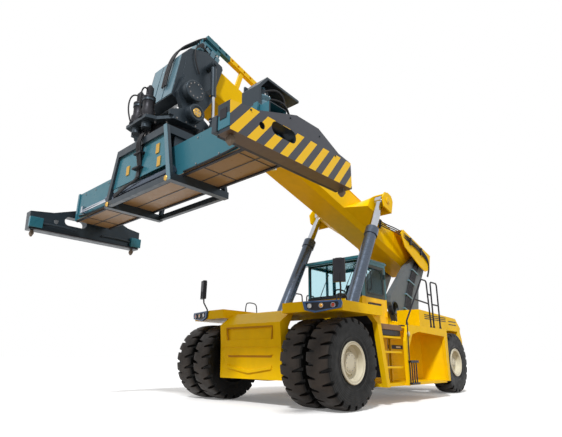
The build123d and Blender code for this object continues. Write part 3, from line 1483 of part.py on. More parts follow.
with BuildPart() as shift_frame:
    # top deck
    with BuildSketch(Plane.XY.offset(SHIFT_FRAME_TOP - 140)):
        with BuildLine():
            Polyline(
                (frame_x_a, -SHIFT_TOP_HALF_Y),
                (frame_x_b, -SHIFT_TOP_HALF_Y),
                (frame_x_b, SHIFT_TOP_HALF_Y),
                (frame_x_a, SHIFT_TOP_HALF_Y),
                close=True,
            )
        make_face()
    extrude(amount=140)
    # pads bearing on the main beam's top
    for side, sign in SIDES:
        with Locations(
            (SWING_X, sign * 700, (BEAM_TOP + pad + SHIFT_FRAME_TOP - 140) / 2)
        ):
            Box(2 * BEAM_HALF_W, 160, SHIFT_FRAME_TOP - 140 - BEAM_TOP - pad)
        # front and rear struts, leaning outward towards their feet
        for x_a, x_b in ((frame_x_b - 60, frame_x_b), (frame_x_a, frame_x_a + 60)):
            with BuildSketch(Plane.YZ.offset(x_a)):
                with BuildLine():
                    Polyline(
                        (sign * (SHIFT_TOP_HALF_Y - 100), SHIFT_FRAME_TOP),
                        (sign * SHIFT_TOP_HALF_Y, SHIFT_FRAME_TOP),
                        (sign * SHIFT_FOOT_HALF_Y, BEAM_BOTTOM - 150),
                        (sign * (SHIFT_FOOT_HALF_Y - 100), BEAM_BOTTOM - 150),
                        close=True,
                    )
                make_face()
            extrude(amount=x_b - x_a)
        # cross beam below, with its pad
        with Locations(((frame_x_a + frame_x_b) / 2, sign * (SHIFT_FOOT_HALF_Y - 60), BEAM_BOTTOM - 90)):
            Box(frame_x_b - frame_x_a, 120, 120)
        with Locations((SWING_X, sign * (SHIFT_FOOT_HALF_Y - 60), BEAM_BOTTOM - 15 - pad / 2)):
            Box(2 * BEAM_HALF_W, 120, 30 - pad)
    for x_mid in (frame_x_a + 40, frame_x_b - 40):
        with Locations((x_mid, 0, BEAM_BOTTOM - 90)):
            Box(80, 2 * SHIFT_FOOT_HALF_Y, 100)
shift_frame.part.label = "shift_frame"
export_step(shift_frame.part, "parts/shift_frame.step")

# ---------------------------------------------------------------- main beam and telescopes
beam_mid_z = (BEAM_TOP + BEAM_BOTTOM) / 2
beam_h = BEAM_TOP - BEAM_BOTTOM
tube_half = (BEAM_HALF_W - MAIN_WALL / 2) / 2
with BuildPart() as main_beam:
    with Locations((SWING_X, 0, beam_mid_z)):
        Box(2 * BEAM_HALF_W, 2 * MAIN_HALF_L, beam_h)
    for sign in (1, -1):
        with Locations((SWING_X + sign * BEAM_HALF_W / 2, 0, beam_mid_z)):
            Box(
                BEAM_HALF_W - 1.5 * MAIN_WALL,
                2 * MAIN_HALF_L,
                beam_h - 2 * MAIN_WALL,
                mode=Mode.SUBTRACT,
            )
main_beam.part.label = "main_beam"
export_step(main_beam.part, "parts/main_beam.step")

# side-shift cylinders: barrels held by the frame's legs, one before and one behind the beam
with BuildPart() as shift_barrels:
    for side, sign in SIDES:
        rod_x = SWING_X - sign * SHIFTER_X
        with BuildSketch(y_cylinder_plane(rod_x, -sign * 950, SHIFTER_Z)):
            Circle(SHIFTER_R)
        extrude(amount=sign * 2190)
        # clamps on the legs' inner faces
        clamp_t = frame_x_b - 60 - SWING_X - SHIFTER_X
        with Locations(*[(rod_x - sign * clamp_t * 3 / 4, y, SHIFTER_Z) for y in (-960, 960)]):
            Box(clamp_t / 2, 70, 90)
        with BuildSketch(y_cylinder_plane(rod_x, -sign * 930, SHIFTER_Z)):
            Circle(SHIFTER_R - 10)
        extrude(amount=sign * 2130, mode=Mode.SUBTRACT)
        with BuildSketch(y_cylinder_plane(rod_x, sign * 1100, SHIFTER_Z)):
            Circle(SHIFTER_ROD_R + RUN_FIT)
        extrude(amount=sign * 200, mode=Mode.SUBTRACT)
shift_barrels.part.label = "shift_barrels"
export_step(shift_barrels.part, "parts/shift_barrels.step")

# and their rods, held by brackets near the beam's ends
with BuildPart() as shift_rods:
    for side, sign in SIDES:
        rod_x = SWING_X - sign * SHIFTER_X
        with BuildSketch(y_cylinder_plane(rod_x, sign * 140, SHIFTER_Z)):
            Circle(SHIFTER_R - 11)
        extrude(amount=sign * 60)
        with BuildSketch(y_cylinder_plane(rod_x, sign * 200, SHIFTER_Z)):
            Circle(SHIFTER_ROD_R)
        extrude(amount=sign * (SHIFTER_EYE_Y - 200))
        bracket_t = SHIFTER_X - BEAM_HALF_W + SHIFTER_R
        with Locations((SWING_X - sign * (BEAM_HALF_W + bracket_t / 2), sign * SHIFTER_EYE_Y, SHIFTER_Z)):
            Box(bracket_t, 70, 140)
shift_rods.part.label = "shift_rods"
export_step(shift_rods.part, "parts/shift_rods.step")

beam_w = BEAM_HALF_W - 1.5 * MAIN_WALL - 2 * SLIDE_GAP
slide_h = beam_h - 2 * MAIN_WALL - 2 * SLIDE_GAP
for side, sign in SIDES:
    tube_x = SWING_X + sign * BEAM_HALF_W / 2
    end_y = sign * HALF_LENGTH
    end_in = HALF_LENGTH - END_T / 2
    with BuildPart() as beam:
        # telescope, with wear pads at its tail, open at that end
        with Locations((tube_x, sign * (end_in - BEAM_L / 2), beam_mid_z)):
            Box(beam_w, BEAM_L, slide_h)
        with Locations((tube_x, sign * (end_in - BEAM_L + 80), beam_mid_z)):
            Box(beam_w + 2 * (SLIDE_GAP - SLIDE_FIT), 160, slide_h + 2 * (SLIDE_GAP - SLIDE_FIT))
        with Locations((tube_x, sign * (end_in - BEAM_L / 2), beam_mid_z)):
            Box(beam_w - 2 * BEAM_WALL, BEAM_L, slide_h - 2 * BEAM_WALL, mode=Mode.SUBTRACT)
        # end beam
        with BuildSketch(across(end_in, end_in + END_T, sign)):
            with BuildLine():
                Polyline(
                    (SWING_X + 1230, END_BOTTOM),
                    (SWING_X + 1250, END_BOTTOM + 380),
                    (SWING_X + 790, END_BOTTOM + 445),
                    (SWING_X + 60, END_BOTTOM + 700),
                    (SWING_X - 430, END_BOTTOM + 700),
                    (SWING_X - 920, END_BOTTOM + 480),
                    (SWING_X - 1240, END_BOTTOM + 430),
                    (SWING_X - 1250, END_BOTTOM),
                    close=True,
                )
            make_face()
            with Locations((SWING_X + 720, END_BOTTOM + 260)):
                Circle(50, mode=Mode.SUBTRACT)
            with Locations((SWING_X + 310, END_BOTTOM + 330)):
                SlotOverall(480, 190, mode=Mode.SUBTRACT)
        extrude(amount=END_T)
        # bores for the twistlocks' shafts
        for lock in (1, -1):
            with BuildSketch(Plane.XY.offset(END_BOTTOM)):
                with Locations((SWING_X + lock * LOCK_PITCH / 2, end_y)):
                    Circle(LOCK_SHAFT_R + RUN_FIT)
            extrude(amount=200, mode=Mode.SUBTRACT)
    beam.part.label = f"beam_{side}"
    export_step(beam.part, f"parts/beam_{side}.step")

    for place, lock in (("front", 1), ("rear", -1)):
        lock_x = SWING_X + lock * LOCK_PITCH / 2
        with BuildPart() as twistlock:
            with BuildSketch(Plane.XY.offset(END_BOTTOM - 60)):
                with Locations((lock_x, end_y)):
                    Circle(LOCK_SHAFT_R)
            extrude(amount=230)
            # head: long and narrow, tapering to its point
            for z, length, width in (
                (END_BOTTOM - 25, 100, 58),
                (END_BOTTOM - 75, 104, 62),
                (LOCK_TIP, 40, 24),
            ):
                with BuildSketch(Plane.XY.offset(z)):
                    with Locations((lock_x, end_y)):
                        Rectangle(width, length)
            loft(ruled=True)
        twistlock.part.label = f"twistlock_{place}_{side}"
        export_step(twistlock.part, f"parts/twistlock_{place}_{side}.step")

# hooded drive standing on the main beam's left end
with BuildPart() as drive_unit:
    with Locations((SWING_X - 110, 2560, BEAM_TOP + 15)):
        Box(900, 380, 30)
    with BuildSketch(Plane.XY.offset(BEAM_TOP + 30)):
        with Locations((SWING_X + 160, 2600)):
            Circle(110)
    extrude(amount=330)
    with BuildSketch(across(2380, 2745)):
        with BuildLine():
            Polyline(
                (SWING_X + 330, BEAM_TOP + 30),
                (SWING_X + 340, BEAM_TOP + 360),
                (SWING_X + 180, BEAM_TOP + 560),
                (SWING_X - 540, BEAM_TOP + 500),
                (SWING_X - 540, BEAM_TOP + 460),
                (SWING_X + 160, BEAM_TOP + 520),
                (SWING_X + 300, BEAM_TOP + 340),
                (SWING_X + 290, BEAM_TOP + 30),
                close=True,
            )
        make_face()
    extrude(amount=365)
    with Locations((SWING_X - 110, 2395, BEAM_TOP + 250)):
        Box(840, 30, 460)
drive_unit.part.label = "drive_unit"
export_step(drive_unit.part, "parts/drive_unit.step")
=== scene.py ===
"""Reach stacker: finishes, small parts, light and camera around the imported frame."""
import math

import bmesh
import bpy
from mathutils import Matrix, Vector


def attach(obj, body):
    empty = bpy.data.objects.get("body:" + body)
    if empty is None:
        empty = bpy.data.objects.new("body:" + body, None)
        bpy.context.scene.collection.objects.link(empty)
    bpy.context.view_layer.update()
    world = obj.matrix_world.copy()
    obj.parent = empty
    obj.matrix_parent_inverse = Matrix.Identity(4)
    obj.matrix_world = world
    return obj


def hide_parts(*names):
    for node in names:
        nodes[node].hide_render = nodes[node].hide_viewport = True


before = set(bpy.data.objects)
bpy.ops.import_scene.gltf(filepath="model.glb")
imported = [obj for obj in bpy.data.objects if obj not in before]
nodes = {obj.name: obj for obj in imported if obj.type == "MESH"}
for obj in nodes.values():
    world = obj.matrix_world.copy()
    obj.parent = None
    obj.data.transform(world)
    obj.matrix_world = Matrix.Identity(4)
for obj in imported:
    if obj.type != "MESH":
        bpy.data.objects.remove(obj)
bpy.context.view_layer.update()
SIDES = (("left", 1), ("right", -1))

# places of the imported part, in metres
FRONT_AXLE = Vector((1.63, 0, 0.8))
REAR_AXLE = Vector((-4.37, 0, 0.8))
SPREADER_X = 4.43
END_FACE_Y = 3.21
BAND_TOP_Z = 3.78
STRIPE_PITCH = 0.29
STRIPE_LEAN = 0.81
STRIPE_START_X = 5.4
END_BOTTOM_Z = 3.35
CAB_WAIST_Z = 2.35
UNDERSIDE_Z = 3.676
HOSE_BEAM_JOINT_X = 3.35
BOOM_PIVOT = Vector((-4.67, 0, 3.85))
BOOM_ANGLE = math.radians(16.3)


def boom_point(u, y, v):
    """A place on the boom, from its lengthwise u, sideways y and upward v."""
    along = Vector((math.cos(BOOM_ANGLE), 0, math.sin(BOOM_ANGLE)))
    upward = Vector((-math.sin(BOOM_ANGLE), 0, math.cos(BOOM_ANGLE)))
    return BOOM_PIVOT + along * u + upward * v + Vector((0, y, 0))


# ---------------------------------------------------------------- shader helpers
def new_material(name):
    mat = bpy.data.materials.new(name)
    mat.use_nodes = True
    tree = mat.node_tree
    return mat, tree, tree.nodes["Principled BSDF"]


def wire(tree, node, inputs):
    """Joins a node's inputs to sockets, or sets them to plain values."""
    for name, value in inputs.items():
        if isinstance(value, bpy.types.NodeSocket):
            tree.links.new(value, node.inputs[name])
        else:
            node.inputs[name].default_value = value


def add_node(tree, kind, inputs, **settings):
    """A new shader node of a kind."""
    node = tree.nodes.new("ShaderNode" + kind)
    for name, value in settings.items():
        setattr(node, name, value)
    wire(tree, node, inputs)
    return node


def math_node(tree, operation, a, b=0.0):
    return add_node(tree, "Math", {0: a, 1: b}, operation=operation).outputs[0]


def object_coords(tree):
    """Object coordinates and their X, Y and Z."""
    coords = add_node(tree, "TexCoord", {}).outputs["Object"]
    return (coords, *add_node(tree, "SeparateXYZ", {"Vector": coords}).outputs)


def noise(tree, vector, scale, detail=3.0):
    return add_node(tree, "TexNoise", {"Scale": scale, "Detail": detail, "Vector": vector}).outputs["Fac"]


def remap(tree, source, low, high, a=0.0, b=1.0):
    ends = {"From Min": low, "From Max": high, "To Min": a, "To Max": b}
    return add_node(tree, "MapRange", {"Value": source, **ends}).outputs["Result"]


# places of the colours A, B and result among the Mix node's sockets
MIX_A, MIX_B, MIX_RESULT = 6, 7, 2


def mix_colour(tree, factor, a, b):
    a, b = (end if isinstance(end, bpy.types.NodeSocket) else (*end, 1.0) for end in (a, b))
    made = add_node(tree, "Mix", {"Factor": factor, MIX_A: a, MIX_B: b}, data_type="RGBA")
    return made.outputs[MIX_RESULT]


def bump(tree, bsdf, height, strength, distance):
    made = add_node(tree, "Bump", {"Strength": strength, "Distance": distance, "Height": height})
    wire(tree, bsdf, {"Normal": made.outputs["Normal"]})


SOIL = (0.16, 0.13, 0.1)
SOIL_FROM_Z, SOIL_FULL_Z = 2.2, 0.1
FADED_SHARE = 0.72
GRAIN_DEPTH = 0.002


def finish_surface(tree, bsdf, colour, rough, dirt, grain, depth, metal=0.0, coat=0.0, gloss=0.3):
    """Colour with faint fading, soil towards the ground, uneven gloss and a fine grain."""
    coords, _, _, height = object_coords(tree)
    patch = remap(tree, noise(tree, coords, 1.7, 5.0), 0.38, 0.78)
    lowness = remap(tree, height, SOIL_FROM_Z, SOIL_FULL_Z)
    soil = math_node(tree, "MULTIPLY", math_node(tree, "MULTIPLY", patch, lowness), dirt)
    weathered = tuple(share * FADED_SHARE for share in colour)
    fading = remap(tree, noise(tree, coords, 5.0, 4.0), 0.35, 0.85, 0.0, 0.35)
    faded = mix_colour(tree, fading, colour, weathered)
    tint = (0.25 + 0.75 * share / max(colour) for share in colour)
    smooth_end = max(rough - 0.06, 0.02)
    wire(tree, bsdf, {
        "Base Color": mix_colour(tree, soil, faded, SOIL),
        "Roughness": remap(tree, noise(tree, coords, 9.0, 4.0), 0.3, 0.75, smooth_end, rough + 0.1),
        "Metallic": metal, "Coat Weight": coat, "Specular IOR Level": gloss, "Specular Tint": (*tint, 1.0),
    })
    bump(tree, bsdf, noise(tree, coords, grain, 3.0), depth, GRAIN_DEPTH)


def paint(name, colour, rough=0.35, dirt=0.3, coat=0.0, grain=90.0, depth=0.05, metal=0.0, gloss=0.3):
    mat, tree, bsdf = new_material(name)
    finish_surface(tree, bsdf, colour, rough, dirt, grain, depth, metal, coat, gloss)
    return mat


def lens(name, colour, rough=0.12):
    return paint(name, colour, rough, dirt=0.0, coat=0.6, grain=30.0)


# ---------------------------------------------------------------- colours and materials
YELLOW = (0.94, 0.585, 0.001)
TEAL = (0.03, 0.155, 0.215)
SLATE = (0.02, 0.028, 0.036)
# painted warm bounce light from the floor, for the main beam's underside
PAINTED_BOUNCE_TAN = (0.34, 0.22, 0.11)
DOOR_FRAME = (0.01, 0.03, 0.036)
RUBBER = (0.003, 0.003, 0.003)
RUBBER_DUST = (0.036, 0.028, 0.023)
END_PLATE = (0.06, 0.062, 0.075)
# painted warm bounce light from the floor, for the end beam's underside
END_PAINTED_BOUNCE = (0.11, 0.07, 0.045)

yellow = paint("yellow_enamel", YELLOW, dirt=0.16, gloss=0.1)
shade_yellow = paint("shade_yellow", (0.52, 0.24, 0.002), gloss=0.2)
black = paint("black_satin", (0.01, 0.01, 0.012), rough=0.45, dirt=0.15)
grey = paint("grey_satin", (0.115, 0.135, 0.15), rough=0.42)
slate = paint("slate_satin", SLATE, rough=0.36, gloss=0.5)
teal = paint("teal_enamel", TEAL, rough=0.28, coat=0.15, gloss=0.5)
light_teal = paint("light_teal_enamel", (0.1, 0.2, 0.26), rough=0.3, coat=0.2, gloss=0.5)
cab_teal = paint("cab_teal_enamel", (0.015, 0.105, 0.135), rough=0.28, coat=0.2, gloss=0.5)
barrel_blue = paint("barrel_blue", (0.075, 0.095, 0.13), rough=0.26, coat=0.2, metal=0.55, gloss=0.6)
cream = paint("cream_enamel", (0.7, 0.66, 0.52), rough=0.38)
chrome = paint("chrome_rod", (0.52, 0.54, 0.58), rough=0.13, dirt=0.0, metal=1.0, depth=0.01)
brass = paint("brass_pad", (0.66, 0.42, 0.12), rough=0.34, dirt=0.0, metal=0.8, gloss=0.6)
steel = paint("worn_steel", (0.36, 0.34, 0.33), rough=0.4, dirt=0.1, metal=1.0, depth=0.12)
lock_brown = paint("lock_steel_brown", (0.14, 0.11, 0.085), rough=0.5, dirt=0.0, metal=0.5)
tread_plate = paint("tread_plate", (0.27, 0.16, 0.085), rough=0.6, dirt=0.2, grain=40.0, depth=0.4)
cloth = paint("seat_black", (0.02, 0.02, 0.022), rough=0.8, dirt=0.0, grain=400.0, depth=0.4)
hose_black = paint("hose_rubber", (0.012, 0.012, 0.013), rough=0.5, dirt=0.1, grain=260.0, depth=0.2)
lens_clear = lens("lens_clear", (0.85, 0.86, 0.84), rough=0.1)
lens_amber = lens("lens_amber", (0.9, 0.42, 0.02))
lens_red = lens("lens_red", (0.55, 0.06, 0.02))
lamp_blue = paint("lamp_border", (0.06, 0.13, 0.3), rough=0.3, dirt=0.1, coat=0.2)
mirror_silver = paint("mirror_silver", (0.8, 0.82, 0.84), rough=0.05, dirt=0.0, metal=1.0, depth=0.01)


def tyre_rubber(name, axle):
    """Black rubber, with a dusty grey-brown tread and rings moulded on the sidewalls."""
    mat, tree, bsdf = new_material(name)
    coords, x, _, z = object_coords(tree)
    dx = math_node(tree, "SUBTRACT", x, axle.x)
    dz = math_node(tree, "SUBTRACT", z, axle.z)
    square = math_node(tree, "ADD", math_node(tree, "MULTIPLY", dx, dx), math_node(tree, "MULTIPLY", dz, dz))
    radius = math_node(tree, "SQRT", square)
    tread = remap(tree, radius, 0.76, 0.795)
    patch = remap(tree, noise(tree, coords, 3.5, 4.0), 0.3, 0.7, 0.35, 1.0)
    dusty = math_node(tree, "MULTIPLY", tread, patch)
    wire(tree, bsdf, {
        "Base Color": mix_colour(tree, dusty, RUBBER, RUBBER_DUST),
        "Roughness": remap(tree, noise(tree, coords, 8.0, 4.0), 0.3, 0.7, 0.4, 0.6),
        "Specular IOR Level": 0.2,
    })
    rings = math_node(tree, "SINE", math_node(tree, "MULTIPLY", radius, 170.0))
    bump(tree, bsdf, math_node(tree, "ADD", rings, noise(tree, coords, 70.0, 3.0)), 0.35, 0.003)
    return mat


def striped_plate():
    """Teal tube and a dark end plate whose outer face has a band of slanting yellow stripes, with painted
    warm bounce light on its underside.
    """
    mat, tree, bsdf = new_material("striped_end_plate")
    finish_surface(tree, bsdf, SLATE, 0.4, 0.2, 90.0, 0.05, gloss=0.4)
    _, x, y, z = object_coords(tree)
    base = bsdf.inputs["Base Color"].links[0].from_socket
    rise = math_node(tree, "MULTIPLY", math_node(tree, "SUBTRACT", z, END_BOTTOM_Z), STRIPE_LEAN)
    back = math_node(tree, "SUBTRACT", STRIPE_START_X + 40 * STRIPE_PITCH, math_node(tree, "ADD", x, rise))
    share = math_node(tree, "FRACT", math_node(tree, "DIVIDE", back, STRIPE_PITCH))
    on_stripe = math_node(tree, "LESS_THAN", share, 0.5)
    on_face = math_node(tree, "GREATER_THAN", y, END_FACE_Y - 0.004)
    in_band = math_node(tree, "LESS_THAN", z, BAND_TOP_Z)
    mask = math_node(tree, "MULTIPLY", math_node(tree, "MULTIPLY", on_stripe, on_face), in_band)
    plate = mix_colour(tree, on_face, base, END_PLATE)
    on_tube = math_node(tree, "LESS_THAN", y, END_FACE_Y - 0.23)
    tube = mix_colour(tree, on_tube, plate, TEAL)
    # the end beam's underside is painted with warm bounce light
    under = math_node(tree, "LESS_THAN", z, END_BOTTOM_Z + 0.003)
    shown = mix_colour(tree, under, mix_colour(tree, mask, tube, YELLOW), END_PAINTED_BOUNCE)
    wire(tree, bsdf, {"Base Color": shown})
    return mat


def split_paint(name, axis, border, before, beyond):
    """One colour up to a border along an axis, 1 for X and 3 for Z, and another beyond it."""
    mat, tree, bsdf = new_material(name)
    finish_surface(tree, bsdf, before, 0.33, 0.2, 90.0, 0.05, gloss=0.35)
    base = bsdf.inputs["Base Color"].links[0].from_socket
    past = math_node(tree, "GREATER_THAN", object_coords(tree)[axis], border)
    wire(tree, bsdf, {"Base Color": mix_colour(tree, past, base, beyond)})
    return mat


def tinted_glass():
    mat, tree, bsdf = new_material("tinted_glass")
    coords = object_coords(tree)[0]
    wire(tree, bsdf, {
        "Base Color": (0.72, 0.88, 0.92, 1.0), "Transmission Weight": 1.0, "IOR": 1.08,
        "Roughness": remap(tree, noise(tree, coords, 5.0, 4.0), 0.3, 0.8, 0.02, 0.1),
    })
    bump(tree, bsdf, noise(tree, coords, 3.0, 1.0), 0.02, 0.002)
    return mat


front_rubber = tyre_rubber("front_tyre_rubber", FRONT_AXLE)
rear_rubber = tyre_rubber("rear_tyre_rubber", REAR_AXLE)


def pair(*names):
    """Node names with each side's ending."""
    return tuple(f"{name}_{side}" for name in names for side, _ in SIDES)


NODE_MATERIALS = (
    (yellow, ("nose", "fenders", "deck", "side_boxes", "side_arches", "hood", "counterweight", "boom_outer",
              "eye_hoods", "boom_inner", "cab_tub", "ladders")),
    (black, ("arch_liners", "handrails", "chassis_frame", "front_axle", "rear_axle", "mirrors", "engine",
             *pair("knuckle"), "lamp_clusters", "slew_ring")),
    (grey, ("boom_posts",)),
    (barrel_blue, (*pair("lift_barrel"), "shift_barrels")),
    (slate, ("boom_head", "damper_barrels", "rotator", "shift_frame", "drive_unit", "beam_right")),
    # below UNDERSIDE_Z the main beam's underside is painted with warm bounce light from the floor
    (split_paint("main_beam_teal_with_painted_bounce", 3, UNDERSIDE_Z, PAINTED_BOUNCE_TAN, TEAL), ("main_beam",)),
    (striped_plate(), ("beam_left",)),
    (split_paint("hose_beam_paint", 1, HOSE_BEAM_JOINT_X, YELLOW, TEAL), ("hose_beam",)),
    (split_paint("door_paint", 3, CAB_WAIST_Z, YELLOW, DOOR_FRAME), ("door_left",)),
    (cab_teal, ("cab_frame",)),
    (cream, pair("rim_front", "rim_rear")),
    (front_rubber, pair("tyres_front")),
    (rear_rubber, pair("tyre_rear")),
    (chrome, (*pair("lift_rod"), "damper_rods", "shift_rods")),
    (tinted_glass(), ("cab_glass", "door_glass")),
    (cloth, ("cab_seat", "cab_console")),
    (lock_brown, pair("twistlock_front", "twistlock_rear")),
)
for material, names in NODE_MATERIALS:
    for name in names:
        for held in nodes[name].material_slots:
            held.material = material


# ---------------------------------------------------------------- piece helpers
def settle(obj, body, material):
    """Gives a finished piece its material, slot and body."""
    obj.data.materials.clear()
    obj.data.materials.append(material)
    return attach(obj, body)


def mesh_piece(name, mesh, body, material, bevel=0.0):
    """A piece from a bmesh, with its small edges rounded."""
    bmesh.ops.recalc_face_normals(mesh, faces=mesh.faces)
    data = bpy.data.meshes.new(name)
    mesh.to_mesh(data)
    mesh.free()
    obj = bpy.data.objects.new(name, data)
    bpy.context.collection.objects.link(obj)
    if bevel:
        rounded = obj.modifiers.new("rounded", "BEVEL")
        rounded.width = bevel
        rounded.segments = 2
        rounded.limit_method = "ANGLE"
    return settle(obj, body, material)


def add_prism(mesh, outline, place, low, high):
    """Adds an extruded outline; place(a, b, depth) turns its two coordinates and depth to a point."""
    rings = [[mesh.verts.new(place(a, b, depth)) for a, b in outline] for depth in (low, high)]
    mesh.faces.new(rings[0])
    mesh.faces.new(reversed(rings[1]))
    count = len(outline)
    for i in range(count):
        j = (i + 1) % count
        mesh.faces.new((rings[0][i], rings[0][j], rings[1][j], rings[1][i]))


def side_place(a, b, depth):
    return Vector((a, depth, b))


def front_place(a, b, depth):
    return Vector((depth, a, b))


def top_place(a, b, depth):
    return Vector((a, b, depth))


def boom_place(a, b, depth):
    return boom_point(a, depth, b)


def plates(name, outlines, place, body, material, bevel=0.004):
    """One piece from a list of (outline, low, high) prisms."""
    mesh = bmesh.new()
    for outline, low, high in outlines:
        add_prism(mesh, outline, place, low, high)
    return mesh_piece(name, mesh, body, material, bevel)


def rectangle(a_low, a_high, b_low, b_high):
    return ((a_low, b_low), (a_high, b_low), (a_high, b_high), (a_low, b_high))


def axis_frame(centre, direction):
    """Matrix whose Z lies along a direction at a centre."""
    return Matrix.Translation(centre) @ Vector(direction).to_track_quat("Z", "Y").to_matrix().to_4x4()


def add_lathe(mesh, profile, centre, direction, segments=32):
    """Adds a turned form: profile is (radius, height) pairs along the direction."""
    place = axis_frame(centre, direction)
    rings = []
    for radius, height in profile:
        if radius < 1e-6:
            rings.append([mesh.verts.new(place @ Vector((0, 0, height)))])
            continue
        turns = [2 * math.pi / segments * i for i in range(segments)]
        points = [Vector((radius * math.cos(turn), radius * math.sin(turn), height)) for turn in turns]
        rings.append([mesh.verts.new(place @ point) for point in points])
    for first, second in zip(rings, rings[1:]):
        for i in range(segments):
            j = (i + 1) % segments
            corners = [ring[k % len(ring)] for ring, k in ((first, i), (first, j), (second, j), (second, i))]
            face = list(dict.fromkeys(corners))
            if len(face) > 2:
                mesh.faces.new(face).smooth = segments > 8
    if profile[0] == profile[-1]:
        bmesh.ops.remove_doubles(mesh, verts=rings[0] + rings[-1], dist=1e-6)
        return
    for ring, backwards in ((rings[0], True), (rings[-1], False)):
        if len(ring) > 2:
            mesh.faces.new(reversed(ring) if backwards else ring)


def turned(name, forms, body, material, segments=32, bevel=0.0):
    """One piece from a list of (profile, centre, direction) turned forms."""
    mesh = bmesh.new()
    for profile, centre, direction in forms:
        add_lathe(mesh, profile, centre, direction, segments)
    return mesh_piece(name, mesh, body, material, bevel)


def bolts(name, places, direction, radius, height, body, material):
    """A set of hexagon bolt heads."""
    flange_r, flange_top = radius * 1.35, height * 0.25
    profile = ((flange_r, 0), (flange_r, flange_top), (radius, flange_top), (radius, height), (0, height))
    return turned(name, [(profile, place, direction) for place in places], body, material, 6)


def pipes(name, routes, radius, body, material, order=3):
    """Hoses or rails as smooth splines through the region of their points, joined in one piece."""
    curve = bpy.data.curves.new(name, "CURVE")
    curve.dimensions = "3D"
    curve.bevel_depth = radius
    curve.bevel_resolution = 3
    curve.resolution_u = 8
    curve.use_fill_caps = True
    for route in routes:
        spline = curve.splines.new("NURBS")
        spline.points.add(len(route) - 1)
        for point, place in zip(spline.points, route):
            point.co = (*place, 1.0)
        spline.order_u = min(order, len(route))
        spline.use_endpoint_u = True
    obj = bpy.data.objects.new(name, curve)
    bpy.context.collection.objects.link(obj)
    return settle(obj, body, material)


def close_rings(mesh, rings):
    """Joins closed loops of vertices, the last loop to the first, and gives the faces."""
    faces = []
    for first, second in zip(rings, rings[1:] + rings[:1]):
        for i in range(len(first)):
            j = (i + 1) % len(first)
            faces.append(mesh.faces.new((first[i], first[j], second[j], second[i])))
    return faces


def on_side(sign, points):
    """Points given for the left side, turned to a side."""
    return [(x, sign * y, z) for x, y, z in points]


def boom_route(sign, points):
    """Places on the boom from (u, y, v) given for the left side."""
    return [boom_point(u, sign * y, v) for u, y, v in points]


def circle_places(centre, radius, count, axis="y", start=0.0):
    """Evenly spaced places on a circle square to an axis."""
    places = []
    for i in range(count):
        angle = start + 2 * math.pi * i / count
        a, b = radius * math.cos(angle), radius * math.sin(angle)
        places.append(Vector(centre) + (Vector((a, 0, b)) if axis == "y" else Vector((a, b, 0))))
    return places


# ---------------------------------------------------------------- wheels
SLOTS_AROUND = 22
# shares of one pitch at which the tread has points
SLOT_SHARES = (0.0, 0.1, 0.14, 0.36, 0.4, 0.5, 0.6, 0.64, 0.86, 0.9)
# points this near a slot's middle spread with its width, and the nearer ones also sink
SLOT_REACH = 0.16
SLOT_HALF = 0.12
SLOT_MIDDLE = {1: 0.25, -1: 0.75}
SLOT_LEAN = 0.45
# rows of faces on each sidewall that are shaded smooth
WALL_RINGS = 10
# half section from the tread's middle to the bead: y, radius, slot depth, slot width
TYRE_SECTION = (
    (0.000, 0.800, 0.000, 0.35), (0.055, 0.800, 0.000, 0.45), (0.062, 0.800, 0.035, 0.50),
    (0.110, 0.799, 0.055, 0.70), (0.160, 0.796, 0.062, 0.85), (0.200, 0.790, 0.066, 1.00),
    (0.228, 0.780, 0.066, 1.10), (0.243, 0.755, 0.050, 1.15), (0.249, 0.715, 0.022, 1.15),
    (0.250, 0.690, 0.000, 1.10), (0.250, 0.640, 0.0, 1.0), (0.250, 0.600, 0.0, 1.0), (0.246, 0.550, 0.0, 1.0),
    (0.238, 0.495, 0.0, 1.0), (0.236, 0.470, 0.0, 1.0), (0.240, 0.455, 0.0, 1.0), (0.238, 0.435, 0.0, 1.0),
    (0.228, 0.420, 0.0, 1.0), (0.215, 0.395, 0.0, 1.0), (0.213, 0.372, 0.0, 1.0), (0.213, 0.336, 0.0, 1.0),
)
# end, axle, rows of tyres, face of the rim, cap's rise and radius, CAD tyre, body, rubber
WHEELS = (
    ("front", FRONT_AXLE, (1.27, 1.87), 1.96, 0.06, 0.165, "tyres_front", "wheels_front", front_rubber),
    ("rear", REAR_AXLE, (1.33,), 1.42, 0.05, 0.11, "tyre_rear", "wheel_rear", rear_rubber),
)
NUTS = 24
NUT_CIRCLE_R = 0.232
HOLE_CIRCLE_R = 0.276
LOCK_RING = ((0.34, 0.092), (0.352, 0.104), (0.364, 0.104), (0.372, 0.092), (0.364, 0.084), (0.35, 0.084),
             (0.34, 0.092))


def add_tyre(mesh, axle, y_mid):
    """Adds a lug tyre: two rows of slots, half a pitch apart, that lean and widen to the shoulders."""
    right_half = [(*section, -1) for section in reversed(TYRE_SECTION)]
    left_half = [(*section, 1) for section in TYRE_SECTION[1:]]
    rings = []
    for y, radius, depth, width, half in right_half + left_half:
        middle = SLOT_MIDDLE[half]
        ring = []
        for i in range(SLOTS_AROUND):
            for share in SLOT_SHARES:
                off = share - middle
                spot = middle + off * width if abs(off) < SLOT_REACH else share
                r = radius - (depth if abs(off) < SLOT_HALF else 0.0)
                angle = 2 * math.pi * (i + spot + SLOT_LEAN * y * 2) / SLOTS_AROUND
                at = (axle.x + r * math.cos(angle), y_mid + half * y, axle.z + r * math.sin(angle))
                ring.append(mesh.verts.new(at))
        rings.append(ring)
    around = len(rings[0])
    for index, face in enumerate(close_rings(mesh, rings)):
        row = index // around
        face.smooth = row < WALL_RINGS or row > len(rings) - WALL_RINGS - 2


def tyres(side, sign):
    """Lug tyres in place of the plain ones."""
    for _, axle, rows, _, _, _, tyre, body, rubber in WHEELS:
        mesh = bmesh.new()
        for y_mid in rows:
            add_tyre(mesh, axle, sign * y_mid)
        piece = mesh_piece(f"lugged_{tyre}_{side}", mesh, f"{body}_{side}", rubber)
        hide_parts(f"{tyre}_{side}")


